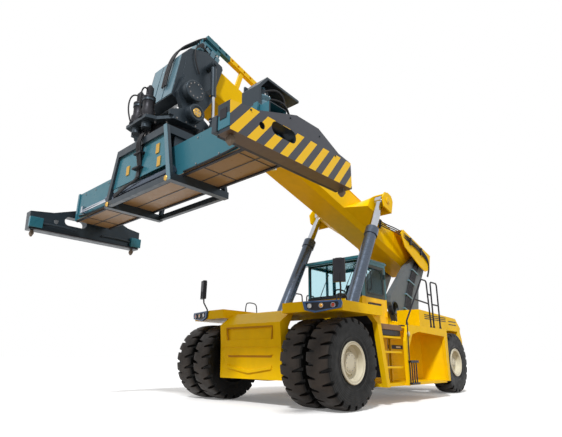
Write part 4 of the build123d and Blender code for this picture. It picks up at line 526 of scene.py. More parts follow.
def wheel_details(side, sign):
    """Nuts, holes, lock ring, hub cap and valve on each wheel."""
    out = Vector((0, sign, 0))
    for end, axle, _, face_y, cap_rise, cap_r, _, body, _ in WHEELS:
        tag, body = f"{end}_{side}", f"{body}_{side}"
        centre = Vector((axle.x, sign * face_y, axle.z))
        bolts(f"wheel_nuts_{tag}", circle_places(centre, NUT_CIRCLE_R, NUTS), out, 0.013, 0.024, body, cream)
        # the black discs set into the rim's holes are painted shade inside the holes
        disc = ((0.014, 0), (0.014, 0.006), (0, 0.006))
        holes = circle_places(centre - out * 0.012, HOLE_CIRCLE_R, NUTS, start=0.13)
        turned(f"wheel_hole_shade_{tag}", [(disc, place, out) for place in holes], body, black, 12)
        ring = centre + out * 0.05
        turned(f"lock_ring_{tag}", [(LOCK_RING, ring, out)], body, cream, 64)
        cap = centre + out * cap_rise
        dome = ((cap_r, 0), (cap_r, 0.006), (cap_r * 0.93, 0.016), (cap_r * 0.5, 0.024), (0, 0.027))
        turned(f"hub_cap_{tag}", [(dome, cap, out)], body, cream, 40)
        places = circle_places(cap + out * 0.012, cap_r * 0.82, 10)
        bolts(f"hub_bolts_{tag}", places, out, 0.009, 0.014, body, steel)
        valve = centre + Vector((0.21, sign * 0.02, 0.2))
        steps = on_side(sign, ((0, 0, 0), (0.03, 0.02, 0.03), (0.06, 0.012, 0.055)))
        stem = [valve + Vector(step) for step in steps]
        pipes(f"valve_{tag}", [stem], 0.006, body, brass)


# ---------------------------------------------------------------- front of the carrier
LAMP_IN = (2.16, 1.38)
LAMP_OUT = (1.96, 2.13)
LAMP_Z = 1.775
LAMP_SPOTS = ((-0.23, lens_clear), (0.0, lens_amber), (0.23, lens_red))
# scales along and up, and depth, of the four edges of a lamp cluster's border
BORDER_EDGES = ((1.03, 1.03, 0.02), (1.03, 1.03, 0.052), (0.86, 0.76, 0.052), (0.86, 0.76, 0.02))
MIRROR_CENTRE = (1.86, 2.01, 2.44)
# heights and stations of the nose's front face at its foot, crease and top
NOSE_FOOT, NOSE_CREASE, NOSE_TOP = (0.47, 2.17), (1.08, 2.19), (1.53, 2.23)


def lamp_details(side, sign):
    """Blue border and the round lenses of each lamp cluster."""
    inner = Vector((LAMP_IN[0], sign * LAMP_IN[1], LAMP_Z))
    outer = Vector((LAMP_OUT[0], sign * LAMP_OUT[1], LAMP_Z))
    along = (outer - inner).normalized()
    half = (outer - inner).length / 2
    out = Vector((abs(along.y), abs(along.x) * sign, 0))
    middle = (inner + outer) / 2

    def place(a, b, depth):
        return middle + along * a + Vector((0, 0, b)) + out * depth

    border = ((-half + 0.02, 0.095), (half - 0.02, 0.095), (half, 0.04), (half - 0.03, -0.04),
              (-half / 3, -0.11), (-half + 0.06, -0.06))
    mesh = bmesh.new()
    close_rings(mesh, [[mesh.verts.new(place(a * wide, b * tall, depth)) for a, b in border]
                       for wide, tall, depth in BORDER_EDGES])
    mesh_piece(f"lamp_border_{side}", mesh, "chassis", lamp_blue, 0.003)
    bowl = ((0.034, 0), (0.034, 0.006), (0.026, 0.014), (0.012, 0.019), (0, 0.02))
    hoop = ((0.036, 0), (0.036, 0.01), (0.039, 0.013), (0.043, 0.01), (0.045, 0.0), (0.036, 0))
    for spot, (shift, material) in enumerate(LAMP_SPOTS):
        at = place(shift, 0.01, 0.057)
        turned(f"lamp_lens_{side}_{spot}", [(bowl, at, out)], "chassis", material, 32)
        turned(f"lamp_ring_{side}_{spot}", [(hoop, at, out)], "chassis", chrome, 40)


def mirror_details(side, sign):
    """Glass and clamps of each mirror, turned outwards."""
    centre = Vector(on_side(sign, [MIRROR_CENTRE])[0])
    turn = Matrix.Rotation(math.radians(20 * sign), 4, "Z")

    def place(a, b, depth):
        return centre + turn @ Vector((depth, a, b))

    glass = [(rectangle(-0.095, 0.095, -0.195, 0.195), -0.052, -0.044)]
    plates(f"mirror_glass_{side}", glass, place, "chassis", mirror_silver)
    clamps = [(rectangle(-0.06, 0.06, 0.21, 0.232), -0.03, 0.03),
              (rectangle(-0.02, 0.02, -0.2, -0.05), 0.044, 0.06)]
    plates(f"mirror_clamp_{side}", clamps, place, "chassis", black, 0.006)


def nose_x(z):
    """Station of the nose's front face at a height."""
    ends = (NOSE_FOOT, NOSE_CREASE) if z < NOSE_CREASE[0] else (NOSE_CREASE, NOSE_TOP)
    (low_z, low_x), (high_z, high_x) = ends
    return low_x + (high_x - low_x) * (z - low_z) / (high_z - low_z)


def nose_bar(name, outline, rise, material, bevel):
    """A flat bar on the nose's face, from an outline of (y, z)."""
    mesh = bmesh.new()
    back = [mesh.verts.new((nose_x(z) - 0.012, y, z)) for y, z in outline]
    front = [mesh.verts.new((nose_x(z) + rise, y * 0.985, z)) for y, z in outline]
    mesh.faces.new(back)
    mesh.faces.new(reversed(front))
    for i in range(len(outline)):
        j = (i + 1) % len(outline)
        mesh.faces.new((back[i], back[j], front[j], front[i]))
    mesh_piece(name, mesh, "chassis", material, bevel)


def nose_details():
    """Raised chevron, lip, groove, crease and the shaded edges of the pocket on the nose."""
    chevron = ((-0.64, 0.735), (-0.52, 0.7), (0.0, 0.635), (0.52, 0.7), (0.64, 0.735), (0.62, 0.66),
               (0.0, 0.575), (-0.62, 0.66))
    nose_bar("nose_chevron", chevron, 0.03, yellow, 0.006)
    lip = ((-0.66, 0.935), (0.66, 0.935), (0.62, 0.915), (-0.62, 0.915))
    nose_bar("nose_lower_lip", lip, 0.022, yellow, 0.004)
    groove = ((-0.64, 0.915), (0.64, 0.915), (0.62, 0.875), (-0.62, 0.875))
    nose_bar("nose_groove", groove, 0.001, shade_yellow, 0.0)
    crease = ((-0.868, 1.085), (0.868, 1.085), (0.868, 1.07), (-0.868, 1.07))
    nose_bar("nose_crease", crease, 0.01, yellow, 0.004)
    edges = (((-0.68, 1.475), (0.68, 1.475), (0.66, 1.445), (-0.66, 1.445)),
             ((-0.68, 1.475), (-0.66, 1.445), (-0.62, 1.215), (-0.64, 1.205)),
             ((0.68, 1.475), (0.66, 1.445), (0.62, 1.215), (0.64, 1.205)))
    for index, edge in enumerate(edges):
        nose_bar(f"nose_pocket_edge_{index}", edge, 0.002, shade_yellow, 0.0)


def front_details(side, sign):
    """Hand loop and bolts on each fender."""
    loop = on_side(sign, ((1.05, 1.36, 1.86), (1.05, 1.36, 2.12), (0.96, 1.36, 2.17), (0.74, 1.36, 2.17),
                          (0.66, 1.36, 2.1), (0.66, 1.36, 1.86)))
    pipes(f"grab_loop_{side}", [loop], 0.013, "chassis", black)
    rows = on_side(sign, [(x, 2.131, 1.735) for x in (0.8, 1.1, 1.4, 1.7)])
    bolts(f"fender_bolts_{side}", rows, (0, sign, 0), 0.008, 0.008, "chassis", yellow)


# ---------------------------------------------------------------- cab
GLASS_X = -0.768
PANE_HALF_Y = 0.775
PANE_LOW_Z, PANE_HIGH_Z = 2.395, 3.23
GASKET_W = 0.025
WIPER_Y = (-0.42, 0.3)
DOOR_FACE_Y = 0.842


def windscreen_details():
    """Gasket, sill strip, wipers and visor of the windscreen, and the roof's ribs."""
    pane_foot, pane_head = PANE_LOW_Z + GASKET_W, PANE_HIGH_Z - GASKET_W
    bars = [rectangle(-PANE_HALF_Y, PANE_HALF_Y, PANE_LOW_Z, pane_foot),
            rectangle(-PANE_HALF_Y, PANE_HALF_Y, pane_head, PANE_HIGH_Z),
            rectangle(-PANE_HALF_Y, -PANE_HALF_Y + GASKET_W, pane_foot, pane_head),
            rectangle(PANE_HALF_Y - GASKET_W, PANE_HALF_Y, pane_foot, pane_head)]
    plates("windscreen_gasket", [(bar, GLASS_X - 0.004, GLASS_X + 0.01) for bar in bars], front_place,
           "chassis", black, 0.003)
    plates("scuttle_strip", [(rectangle(-0.84, 0.84, 2.33, 2.385), GLASS_X, GLASS_X + 0.023)], front_place,
           "chassis", black, 0.006)
    arms = [[(-0.735, y, 2.37), (-0.725, y + 0.05, 2.48), (-0.735, y + 0.18, 2.74)] for y in WIPER_Y]
    pipes("wiper_arms", arms, 0.01, "chassis", black)
    blades = [[(-0.742, y + 0.05, 2.5), (-0.735, y + 0.17, 2.72), (-0.742, y + 0.29, 2.96)] for y in WIPER_Y]
    pipes("wiper_blades", blades, 0.008, "chassis", black)
    hub = ((0.028, 0), (0.028, 0.03), (0.018, 0.045), (0, 0.045))
    turned("wiper_hubs", [(hub, (-0.765, y, 2.37), (1, 0, 0)) for y in WIPER_Y], "chassis", black, 24)
    visor = ((-0.79, 3.262), (-0.6, 3.215), (-0.595, 3.228), (-0.79, 3.285))
    plates("sun_visor", [(visor, -0.8, 0.8)], side_place, "chassis", light_teal)
    rib_ys = (-0.55, -0.28, 0, 0.28, 0.55)
    ribs = [(rectangle(-1.85, -0.82, y - 0.03, y + 0.03), 3.345, 3.356) for y in rib_ys]
    plates("roof_ribs", ribs, top_place, "chassis", cab_teal)


def door_details():
    """Window gasket, grab rail, handle, recess and seam of the cab's door."""
    outline = ((-1.03, 2.455), (-1.09, 2.42), (-1.73, 2.42), (-1.79, 2.455), (-1.79, 3.085), (-1.73, 3.12),
               (-1.09, 3.12), (-1.03, 3.085))
    inner = [(a + (GASKET_W if a < -1.4 else -GASKET_W), b + (GASKET_W if b < 2.8 else -GASKET_W))
             for a, b in outline]
    mesh = bmesh.new()
    edges = ((outline, 0.836), (outline, 0.848), (inner, 0.848), (inner, 0.836))
    close_rings(mesh, [[mesh.verts.new((a, depth, b)) for a, b in shape] for shape, depth in edges])
    mesh_piece("door_gasket", mesh, "door", black, 0.003)
    rail_y = DOOR_FACE_Y + 0.063
    grab = [(-1.12, DOOR_FACE_Y, 2.52), (-1.12, rail_y, 2.52), (-1.12, rail_y, 2.78), (-1.12, rail_y, 3.02),
            (-1.12, DOOR_FACE_Y, 3.02)]
    pipes("door_grab", [grab], 0.011, "door", black)
    recess = ((-1.055, 2.222), (-1.7, 2.222), (-1.7, 1.985), (-1.475, 2.068))
    for name, outline, low, high, bevel in (
        ("handle", rectangle(-1.16, -1.02, 2.165, 2.205), DOOR_FACE_Y, DOOR_FACE_Y + 0.026, 0.008),
        ("recess_pan", recess, 0.814, 0.8185, 0.001),
        ("seam", rectangle(-1.88, -0.94, 2.342, 2.356), 0.8395, 0.8445, 0.001),
    ):
        plates(f"door_{name}", [(outline, low, high)], side_place, "door", black, bevel)


# ---------------------------------------------------------------- deck, ladder, side
TREAD_FRONT_X, TREAD_BACK_X = 0.36, -0.53
TANK_FACE_Y = 1.32
STEP_ZS = (0.71, 1.01)


def deck_details(side, sign):
    """Tread plates, step box and treads of the ladder, and on the left the rack of chocks."""
    front, back = TREAD_FRONT_X, TREAD_BACK_X
    inner_y, outer_y = sign * 1.3, sign * 1.935
    top = ((front, inner_y), (front, outer_y), (back, outer_y), (back, inner_y))
    plates(f"tread_top_{side}", [(top, 1.558, 1.572)], top_place, "chassis", tread_plate, 0.003)
    treads = [(rectangle(-0.47, 0.27, z + 0.016, z + 0.024), sign * 1.72, sign * 1.94) for z in STEP_ZS]
    edge = [(rectangle(TREAD_BACK_X, 0.385, 1.462, 1.566), sign * 1.938, sign * 1.952)]
    box = [(rectangle(-0.5, 0.34, 1.345, 1.462), sign * 1.7, sign * 1.93)]
    for name, prisms, material, bevel in (
        ("tread_edge", edge, tread_plate, 0.003),
        ("step_box", box, black, 0.008),
        ("step_treads", treads, tread_plate, 0.002),
    ):
        plates(f"{name}_{side}", prisms, side_place, "chassis", material, bevel)
    if side == "left":
        rack = [(rectangle(x - 0.014, x + 0.014, 0.4, 0.84), 2.035, 2.055) for x in (-0.9, -0.8, -0.7, -0.6)]
        rack += [(rectangle(-0.93, -0.57, low, high), 2.032, 2.1) for low, high in ((0.8, 0.85), (0.36, 0.4))]
        plates("chock_rack", rack, side_place, "chassis", black)


def tank_details(side, sign):
    """Slots, plate, louvres and seams on the tank's face, filler cap, rail feet and the step's grab."""
    def skin(outline, rise, start=0.0):
        face = sign * TANK_FACE_Y
        return outline, face + sign * start, face + sign * rise

    louvres = [skin(rectangle(-1.4, -1.22, 0.55 + 0.06 * i, 0.572 + 0.06 * i), 0.008) for i in range(8)]
    seams = [skin(rectangle(x - 0.006, x + 0.006, 0.42, 1.5), 0.006) for x in (-0.34, -1.00, -1.95)]
    # the black handle and drain slots are painted shade inside the slots
    for name, prisms, material, bevel in (
        ("handle_slot_shade", [skin(rectangle(-1.72, -1.02, 1.1, 1.19), 0.012)], black, 0.004),
        ("step_plate", [skin(rectangle(-1.6, -1.38, 1.125, 1.165), 0.016, 0.01)], cream, 0.001),
        ("louvres", louvres, yellow, 0.003),
        ("drain_slot_shade", [skin(rectangle(-1.86, -1.82, 0.56, 0.66), 0.008)], black, 0.002),
        ("seams", seams, slate, 0.001),
    ):
        plates(f"tank_{name}_{side}", prisms, side_place, "chassis", material, bevel)
    cap = ((0.055, 0), (0.055, 0.012), (0.04, 0.026), (0, 0.03))
    turned(f"filler_cap_{side}", [(cap, (-0.66, sign * 2.03, 1.4), (0, sign, 0))], "chassis", cream, 32)
    foot = ((0.034, 0), (0.034, 0.012), (0.024, 0.014), (0.024, 0.05), (0, 0.05))
    feet = [(foot, (x, sign * 1.995, 1.6), (0, 0, 1)) for x in (-0.71, -1.955, -2.12, -2.49)]
    turned(f"rail_feet_{side}", feet, "chassis", black, 20)
    grab = on_side(sign, ((-0.6, 2.045, 0.86), (-0.6, 2.05, 1.2), (-0.63, 2.045, 1.58), (-0.71, 2.0, 1.72)))
    pipes(f"step_grab_{side}", [grab], 0.012, "chassis", black)


def flank_details(side, sign):
    """Deck and tank of a side."""
    deck_details(side, sign)
    tank_details(side, sign)


# ---------------------------------------------------------------- hood, tail
HOOD_FACE_Y = 1.3


def hood_details(side, sign):
    """Vent lines and bolts on a side of the hood, and its tail lamp."""
    face, raised = sign * HOOD_FACE_Y, sign * (HOOD_FACE_Y + 0.006)
    # the black vent lines are painted shade inside the hood's slots
    bands = [(-4.55, -3.15, z, z + 0.022) for z in (1.93, 1.98, 2.03)]
    bands += [(-5.3, -4.75, z, z + 0.025) for z in (1.86, 1.95)]
    lines = [(rectangle(*band), face, raised) for band in bands]
    plates(f"hood_vent_shade_{side}", lines, side_place, "chassis", black, 0.002)
    dots = [(-3.05 - 0.22 * i, face, 1.74) for i in range(11)]
    bolts(f"hood_bolts_{side}", dots, (0, sign, 0), 0.009, 0.008, "chassis", yellow)
    lamp = rectangle(sign * 1.05 - 0.11, sign * 1.05 + 0.11, 1.5, 1.58)
    plates(f"tail_lamp_{side}", [(lamp, -5.655, -5.612)], front_place, "chassis", lens_red, 0.008)


def tail_details():
    """Tail grille, walk strip and exhaust."""
    bars = [(rectangle(-0.62, 0.62, 1.02 + 0.045 * i, 1.042 + 0.045 * i), -5.728, -5.7) for i in range(6)]
    plates("tail_grille", bars, front_place, "chassis", black, 0.003)
    strip = [(rectangle(-4.6, -3.0, -0.3, 0.3), 2.135, 2.168)]
    plates("hood_walk_strip", strip, top_place, "chassis", black)
    stack = [(-3.35, -1.02, 2.02), (-3.35, -1.02, 2.5), (-3.36, -1.02, 2.74), (-3.46, -1.02, 2.84)]
    pipes("exhaust_stack", [stack], 0.062, "chassis", steel)


# ---------------------------------------------------------------- posts and boom
POST_FACE_Y = 0.645
RECESS_X, RECESS_Z = -2.76, 2.23
STRAP_PLACES = ((-3.4, 2.2), (-3.56, 2.62), (-3.8, 3.05), (-4.08, 3.42))
VALVE_PITCH = 0.13


def post_details(side, sign):
    """Hose bundle with straps on each post's outer face, recess ring and pivot cap."""
    out = Vector((0, sign, 0))
    routes = []
    for shift in [0.055 * i for i in range(6)]:
        routes.append(on_side(sign, ((-3.22 - shift, 0.668, 1.72), (-3.3 - shift, 0.668, 2.25),
                                     (-3.62 - shift, 0.668, 2.95), (-4.02 - shift, 0.668, 3.52),
                                     (-4.35 - 0.6 * shift, 0.668, 3.92 - 0.3 * shift))))
    pipes(f"post_hoses_{side}", routes, 0.024, "chassis", hose_black)
    straps = [(((x + 0.17, z + 0.05), (x - 0.2, z - 0.07), (x - 0.22, z - 0.03), (x + 0.15, z + 0.09)),
               sign * POST_FACE_Y, sign * 0.702) for x, z in STRAP_PLACES]
    plates(f"post_straps_{side}", straps, side_place, "chassis", light_teal)
    pivot = Vector((BOOM_PIVOT.x, sign * 0.705, BOOM_PIVOT.z))
    ring = ((0.155, 0), (0.155, 0.012), (0.168, 0.02), (0.188, 0.012), (0.188, 0.0), (0.155, 0))
    # the black disc at the back of each post's recess is painted shade
    disc = ((0.186, 0), (0.186, 0.004), (0, 0.004))
    cap = ((0.15, 0), (0.15, 0.02), (0.12, 0.04), (0.05, 0.045), (0, 0.045))
    for name, profile, at, material in (
        ("post_recess_ring", ring, (RECESS_X, sign * POST_FACE_Y, RECESS_Z), slate),
        ("post_recess_shade_disc", disc, (RECESS_X, sign * 0.556, RECESS_Z), black),
        ("pivot_cap", cap, pivot, slate),
    ):
        turned(f"{name}_{side}", [(profile, at, out)], "chassis", material, 40)
    places = circle_places(pivot + out * 0.04, 0.09, 6)
    bolts(f"pivot_bolts_{side}", places, out, 0.012, 0.014, "chassis", steel)


def valve_details():
    """Valve block with caps and hoses at the left post's foot."""
    steps = [VALVE_PITCH * i for i in range(3)]
    blocks = [(rectangle(-2.66 + step, -2.57 + step, 1.62, 1.78 + 0.03 * (i % 2)), 0.68, 0.86)
              for i, step in enumerate(steps)]
    plates("valve_block", blocks, side_place, "chassis", yellow, 0.008)
    cap = ((0.03, 0), (0.03, 0.03), (0.018, 0.045), (0, 0.045))
    caps = [(cap, (-2.615 + step, 0.77, 1.8), (0, 0, 1)) for step in steps]
    turned("valve_caps", caps, "chassis", yellow, 20)
    hoses = [[(-2.63 + step, 0.86, 1.7), (-2.6 + step, 1.00, 1.74), (-2.8, 1.05, 1.68), (-3.1, 0.72, 1.6)]
             for step in steps]
    pipes("valve_hoses", hoses, 0.016, "chassis", hose_black)


BOOM_FACE_Y = 0.449
CHEEK_IN_Y, CHEEK_OUT_Y = 0.762, 0.79
CHEEK_TOP_V = 0.345
CHEEK = ((-0.33, CHEEK_TOP_V), (1.5, CHEEK_TOP_V), (1.62, 0.16), (1.3, -0.16), (0.3, -0.34),
         (-0.06, -0.34), (-0.33, -0.16))
LID = ((-0.33, 0.332), (1.5, 0.332), (1.5, CHEEK_TOP_V), (-0.33, CHEEK_TOP_V))
TAIL = ((-0.345, 0.14), (-0.33, 0.14), (-0.33, CHEEK_TOP_V), (-0.345, CHEEK_TOP_V))


def boom_hoses(side, sign):
    """Long hoses on the right, and hoses over the tail and along the cheek on both sides."""
    if side == "right":
        hoses = [boom_route(sign, (
            (6.9, 0.468, v), (5.0, 0.468, v), (4.2, 0.468, v - 0.02), (2.4, 0.468, v), (1.2, 0.468, v + 0.02),
            (0.45, 0.468, v + 0.1), (0.3, 0.468, v + 0.2))) for v in (0.1, 0.045, -0.01)]
        pipes("boom_hoses_right", hoses, 0.017, "boom", hose_black)
    over_tail = [boom_route(sign, (
        (3.0, 0.3 - step, 0.362), (1.0, 0.3 - step, 0.362), (0.1, 0.32 - step, 0.362),
        (-0.3, 0.34 - step, 0.34), (-0.37, 0.36 - step, 0.18))) for step in (0, 0.05, 0.1)]
    pipes(f"boom_top_hoses_{side}", over_tail, 0.019, "boom", hose_black)
    along_cheek = []
    for i in range(3):
        down, back = 0.06 * i, 0.02 * i
        along_cheek.append(boom_route(sign, (
            (2.7, 0.472, 0.2 - down), (2.2, 0.5, 0.24 - down), (1.7, 0.74, 0.25 - down),
            (1.2, 0.815, 0.23 - down), (0.7, 0.815, 0.24 - down), (0.2, 0.815, 0.22 - down),
            (-0.18, 0.815, 0.12 - 0.05 * i),
            (-0.26 - back, 0.8, -0.2), (-0.24 - back, 0.76, -0.42))))
    pipes(f"boom_side_hoses_{side}", along_cheek, 0.017, "boom", hose_black)


def boom_details(side, sign):
    """Cheeks at the boom's tail, hoses, seams, top flange, collar bolts, clips and eye caps."""
    out = Vector((0, sign, 0))
    box = [(CHEEK, sign * CHEEK_IN_Y, sign * CHEEK_OUT_Y)]
    box += [(outline, sign * 0.448, sign * 0.765) for outline in (LID, TAIL)]
    plates(f"boom_cheek_{side}", box, boom_place, "boom", yellow, 0.005)
    boom_hoses(side, sign)
    face = sign * BOOM_FACE_Y
    seams = [(rectangle(u, u + 0.012, -0.3, 0.335), face, sign * 0.455) for u in (1.45, 5.2)]
    plates(f"boom_seams_{side}", seams, boom_place, "boom", yellow, 0.002)
    flange = [(rectangle(0.9, 7.3, 0.318, 0.334), face, sign * 0.462)]
    plates(f"boom_top_flange_{side}", flange, boom_place, "boom", yellow)
    pads = [boom_point(7.44, sign * 0.474, v) for v in (-0.22, -0.08, 0.08, 0.22)]
    bolts(f"collar_bolts_{side}", pads, out, 0.014, 0.016, "boom", steel)
    clips = [(rectangle(2.27, 2.33, 0.02, 0.3), sign * 0.455, sign * 0.505)]
    clips += [(rectangle(u - 0.03, u + 0.03, 0.04, 0.28), sign * 0.788, sign * 0.84) for u in (0.35, 1.05)]
    plates(f"boom_hose_clips_{side}", clips, boom_place, "boom", black)
    eye = boom_point(3.264, sign * 1.252, 0.18)
    cap = ((0.085, 0), (0.085, 0.012), (0.07, 0.02), (0, 0.022))
    turned(f"eye_cap_{side}", [(cap, eye, out)], "boom", yellow, 36)
    places = circle_places(eye + out * 0.012, 0.062, 6)
    bolts(f"eye_bolts_{side}", places, out, 0.008, 0.012, "boom", steel)


# ---------------------------------------------------------------- head and rotator
SWING_PIN = Vector((SPREADER_X, 0, 5.08))
VALVES_ON_HEAD = 4
SLEW_DRIVE_X, SLEW_DRIVE_Y, SLEW_DRIVE_Z = 5.04, 0.16, 4.92
SLEW_DRIVE = ((0.15, 0), (0.15, 0.03), (0.132, 0.04), (0.128, 0.16), (0.104, 0.2), (0.102, 0.4),
              (0.116, 0.415), (0.116, 0.445), (0.08, 0.47), (0.067, 0.48), (0.067, 0.645), (0.05, 0.66),
              (0.03, 0.7), (0, 0.7))


def head_hoses():
    """Hoses over the head's front and jumpers beside its valves."""
    loops = []
    for i in range(3):
        y, off = 0.33 - 0.06 * i, 0.03 * i
        loops.append(boom_route(1, (
            (9.0, y, 0.91), (9.22, y, 0.88), (9.38, y, 0.66 - off), (9.52, y, 0.38 - off),
            (9.66, y - 0.02, 0.1), (9.7, y - 0.05, -0.22), (9.66, y - 0.08, -0.56), (9.6, y - 0.09, -0.86))))
    pipes("head_hose_loops", loops, 0.018, "telescope", hose_black)
    jumpers = [boom_route(1, ((9.1, 0.4 - 0.09 * i, 0.42), (9.3, 0.46, 0.42 + 0.06 * i), (9.48, 0.5, 0.2),
                              (9.4, 0.52, -0.1), (9.2, 0.51, -0.3))) for i in range(4)]
    pipes("head_jumper_hoses", jumpers, 0.013, "telescope", hose_black)


def head_details():
    """Panels, hoses, valves and bracket on the boom's head."""
    side_face = ((8.8, 0.3), (9.16, 0.3), (9.48, 0.08), (9.56, -0.16), (9.46, -0.62), (8.98, -0.62),
                 (8.8, -0.3))
    plates("head_side_panel", [(side_face, 0.469, 0.477)], boom_place, "telescope", slate, 0.003)
    front_face = ((9.545, 0.1), (9.653, -0.15), (9.532, -1.1), (9.5, -1.1), (9.615, -0.16), (9.51, 0.1))
    panels = [(front_face, low, high) for low, high in ((-0.45, -0.16), (-0.13, 0.13), (0.16, 0.45))]
    plates("head_front_panels", panels, boom_place, "telescope", light_teal)
    head_hoses()
    valve_us = [0.13 * i for i in range(VALVES_ON_HEAD)]
    blocks = [(rectangle(8.86 + u, 8.96 + u, 0.345, 0.52 + 0.05 * (i % 2)), 0.1, 0.42)
              for i, u in enumerate(valve_us)]
    plates("head_valve_bank", blocks, boom_place, "telescope", light_teal, 0.008)
    tip = ((0.026, 0), (0.026, 0.09), (0.016, 0.1), (0, 0.1))
    tips = [(tip, boom_point(8.91 + u, y, 0.54), (-0.28, 0, 0.96)) for u in valve_us for y in (0.16, 0.34)]
    turned("head_solenoids", tips, "telescope", steel, 20)
    bracket = [(rectangle(*bar, 0.66), -0.05, 0.38) for bar in ((8.98, 9.34, 0.6), (9.3, 9.36, 0.34))]
    plates("head_top_bracket", bracket, boom_place, "telescope", teal)


# the cross tube lies above and ahead of the swing pin, square to the boom
TUBE = SWING_PIN + boom_point(0.155, 0, 0.465) - BOOM_PIVOT


def tube_details(side, sign):
    """Round cap of the head's cross tube."""
    out = Vector((0, sign, 0))
    centre = TUBE + out * 0.715
    cap = ((0.205, 0), (0.205, 0.012), (0.185, 0.024), (0.165, 0.018), (0, 0.018))
    turned(f"tube_cap_{side}", [(cap, centre, out)], "telescope", slate, 48)
    places = circle_places(centre + out * 0.018, 0.145, 10)
    bolts(f"tube_cap_bolts_{side}", places, out, 0.011, 0.014, "telescope", steel)


def ring_places(radius, z, degrees):
    """Places around the slewing axis at angles in degrees."""
    turns = [math.radians(angle) for angle in degrees]
    return [(SPREADER_X + radius * math.cos(turn), radius * math.sin(turn), z) for turn in turns]


def rotator_details(side, sign):
    """Swing pin and slew drive, with its leads."""
    up = (0, 0, 1)
    out = Vector((0, sign, 0))
    pin = SWING_PIN + out * 0.8
    cap = ((0.085, 0), (0.085, 0.012), (0.075, 0.018), (0, 0.018))
    turned(f"swing_pin_cap_{side}", [(cap, pin, out)], "rotator", brass, 36)
    places = circle_places(pin + out * 0.016, 0.05, 4, start=0.78)
    bolts(f"swing_pin_bolts_{side}", places, out, 0.012, 0.012, "rotator", steel)
    ring = ((0.115, 0), (0.115, 0.012), (0.15, 0.012), (0.165, 0), (0.115, 0))
    turned(f"swing_pin_ring_{side}", [(ring, pin, out)], "rotator", slate, 40)
    base = Vector((SLEW_DRIVE_X, sign * SLEW_DRIVE_Y, SLEW_DRIVE_Z))
    turned(f"slew_drive_{side}", [(SLEW_DRIVE, base, up)], "rotator", black, 36)
    places = circle_places(base + Vector((0, 0, 0.03)), 0.131, 12, "z")
    bolts(f"slew_drive_bolts_{side}", places, up, 0.008, 0.012, "rotator", steel)
    steps = on_side(sign, ((0.05, 0, 0.6), (0.13, 0.03, 0.62), (0.2, 0.05, 0.46), (0.19, 0.04, 0.18),
                           (0.13, 0.02, 0.02)))
    pipes(f"slew_leads_{side}", [[base + Vector(step) for step in steps]], 0.014, "rotator", hose_black)


def ring_details():
    """Bolts of the rotator's rim and edges and of the slew ring."""
    down = (0, 0, -1)
    rim = ring_places(0.6, 4.858, range(-50, 70, 20))
    bolts("rotator_rim_bolts", rim, down, 0.018, 0.03, "rotator", steel)
    ring = ring_places(0.522, 4.72, range(0, 360, 12))
    bolts("slew_ring_bolts", ring, down, 0.016, 0.05, "slewing", steel)
    for side, sign in SIDES:
        edge = [(x, sign * 0.66, 4.89) for x in (3.95, 4.15, 4.35, 4.55, 4.75)]
        bolts(f"rotator_edge_bolts_{side}", edge, (0, sign, 0), 0.012, 0.014, "rotator", steel)


# ---------------------------------------------------------------- spreader
FRAME_FRONT_X = SPREADER_X + 0.6
PANEL_BACK_X, PANEL_FRONT_X = SPREADER_X + 0.535, SPREADER_X + 0.555
BEAM_END_Y = 2.79
HOSE_X = 4.848
LOCK_REACH = 1.1295
END_BOLTS = ((4.62, 3.95), (3.98, 3.93), (3.6, 3.76), (5.35, 3.74))


def shift_frame_details():
    """Panel, rib, pads, leg face, cross tube, hoses and pins of the side-shift frame."""
    panel = ((-0.79, 4.54), (0.79, 4.54), (0.95, 3.86), (-0.95, 3.86))
    pad_places = ((0.55, 4.24), (-0.4, 4.1), (0.62, 3.98))
    pads = [rectangle(y - 0.05, y + 0.05, z - 0.09, z + 0.09) for y, z in pad_places]
    rib = rectangle(-0.045, 0.045, 3.86, 4.54)
    leg = ((0.735, 4.6), (0.825, 4.6), (1.085, 3.52), (0.985, 3.52))
    for name, outlines, low, high, material, bevel in (
        ("front_panel", [panel], PANEL_BACK_X, PANEL_FRONT_X, teal, 0.004),
        ("panel_rib", [rib], PANEL_FRONT_X, PANEL_FRONT_X + 0.03, black, 0.006),
        ("wear_pads", pads, PANEL_FRONT_X, PANEL_FRONT_X + 0.017, brass, 0.004),
        ("leg_face_left", [leg], FRAME_FRONT_X, FRAME_FRONT_X + 0.012, light_teal, 0.003),
    ):
        prisms = [(outline, low, high) for outline in outlines]
        plates(f"shift_{name}", prisms, front_place, "slewing", material, bevel)
    tie = [(FRAME_FRONT_X - 0.06, y, z) for y, z in ((0.98, 3.6), (0.0, 3.58), (-0.98, 3.6))]
    pipes("shift_cross_tube", [tie], 0.06, "slewing", slate)
    hoses = []
    for i in range(3):
        y, step = 0.12 - 0.05 * i, 0.04 * i
        hoses.append([(5.02, y, 4.7), (5.1, y - 0.02, 4.55), (5.06, y - 0.04, 4.3),
                      (4.99, 0.05 - step, 4.05), (4.98, 0.02 - step, 3.86), (5.02, -0.2 - 0.05 * i, 3.78),
                      (5.02, -0.75, 3.72 - 0.03 * i)])
    pipes("shift_hoses", hoses, 0.018, "slewing", hose_black)
    straps = [(rectangle(-0.1, 0.13, z, z + 0.035), 4.925, 5.085) for z in (4.28, 4.00)]
    plates("shift_hose_straps", straps, front_place, "slewing", black, 0.006)
    pin = ((0.045, 0), (0.045, 0.02), (0.03, 0.03), (0, 0.03))
    pins = [(pin, (FRAME_FRONT_X, y, 3.57), (1, 0, 0)) for y in (0.96, -0.96)]
    turned("shift_corner_pins", pins, "slewing", brass, 28)


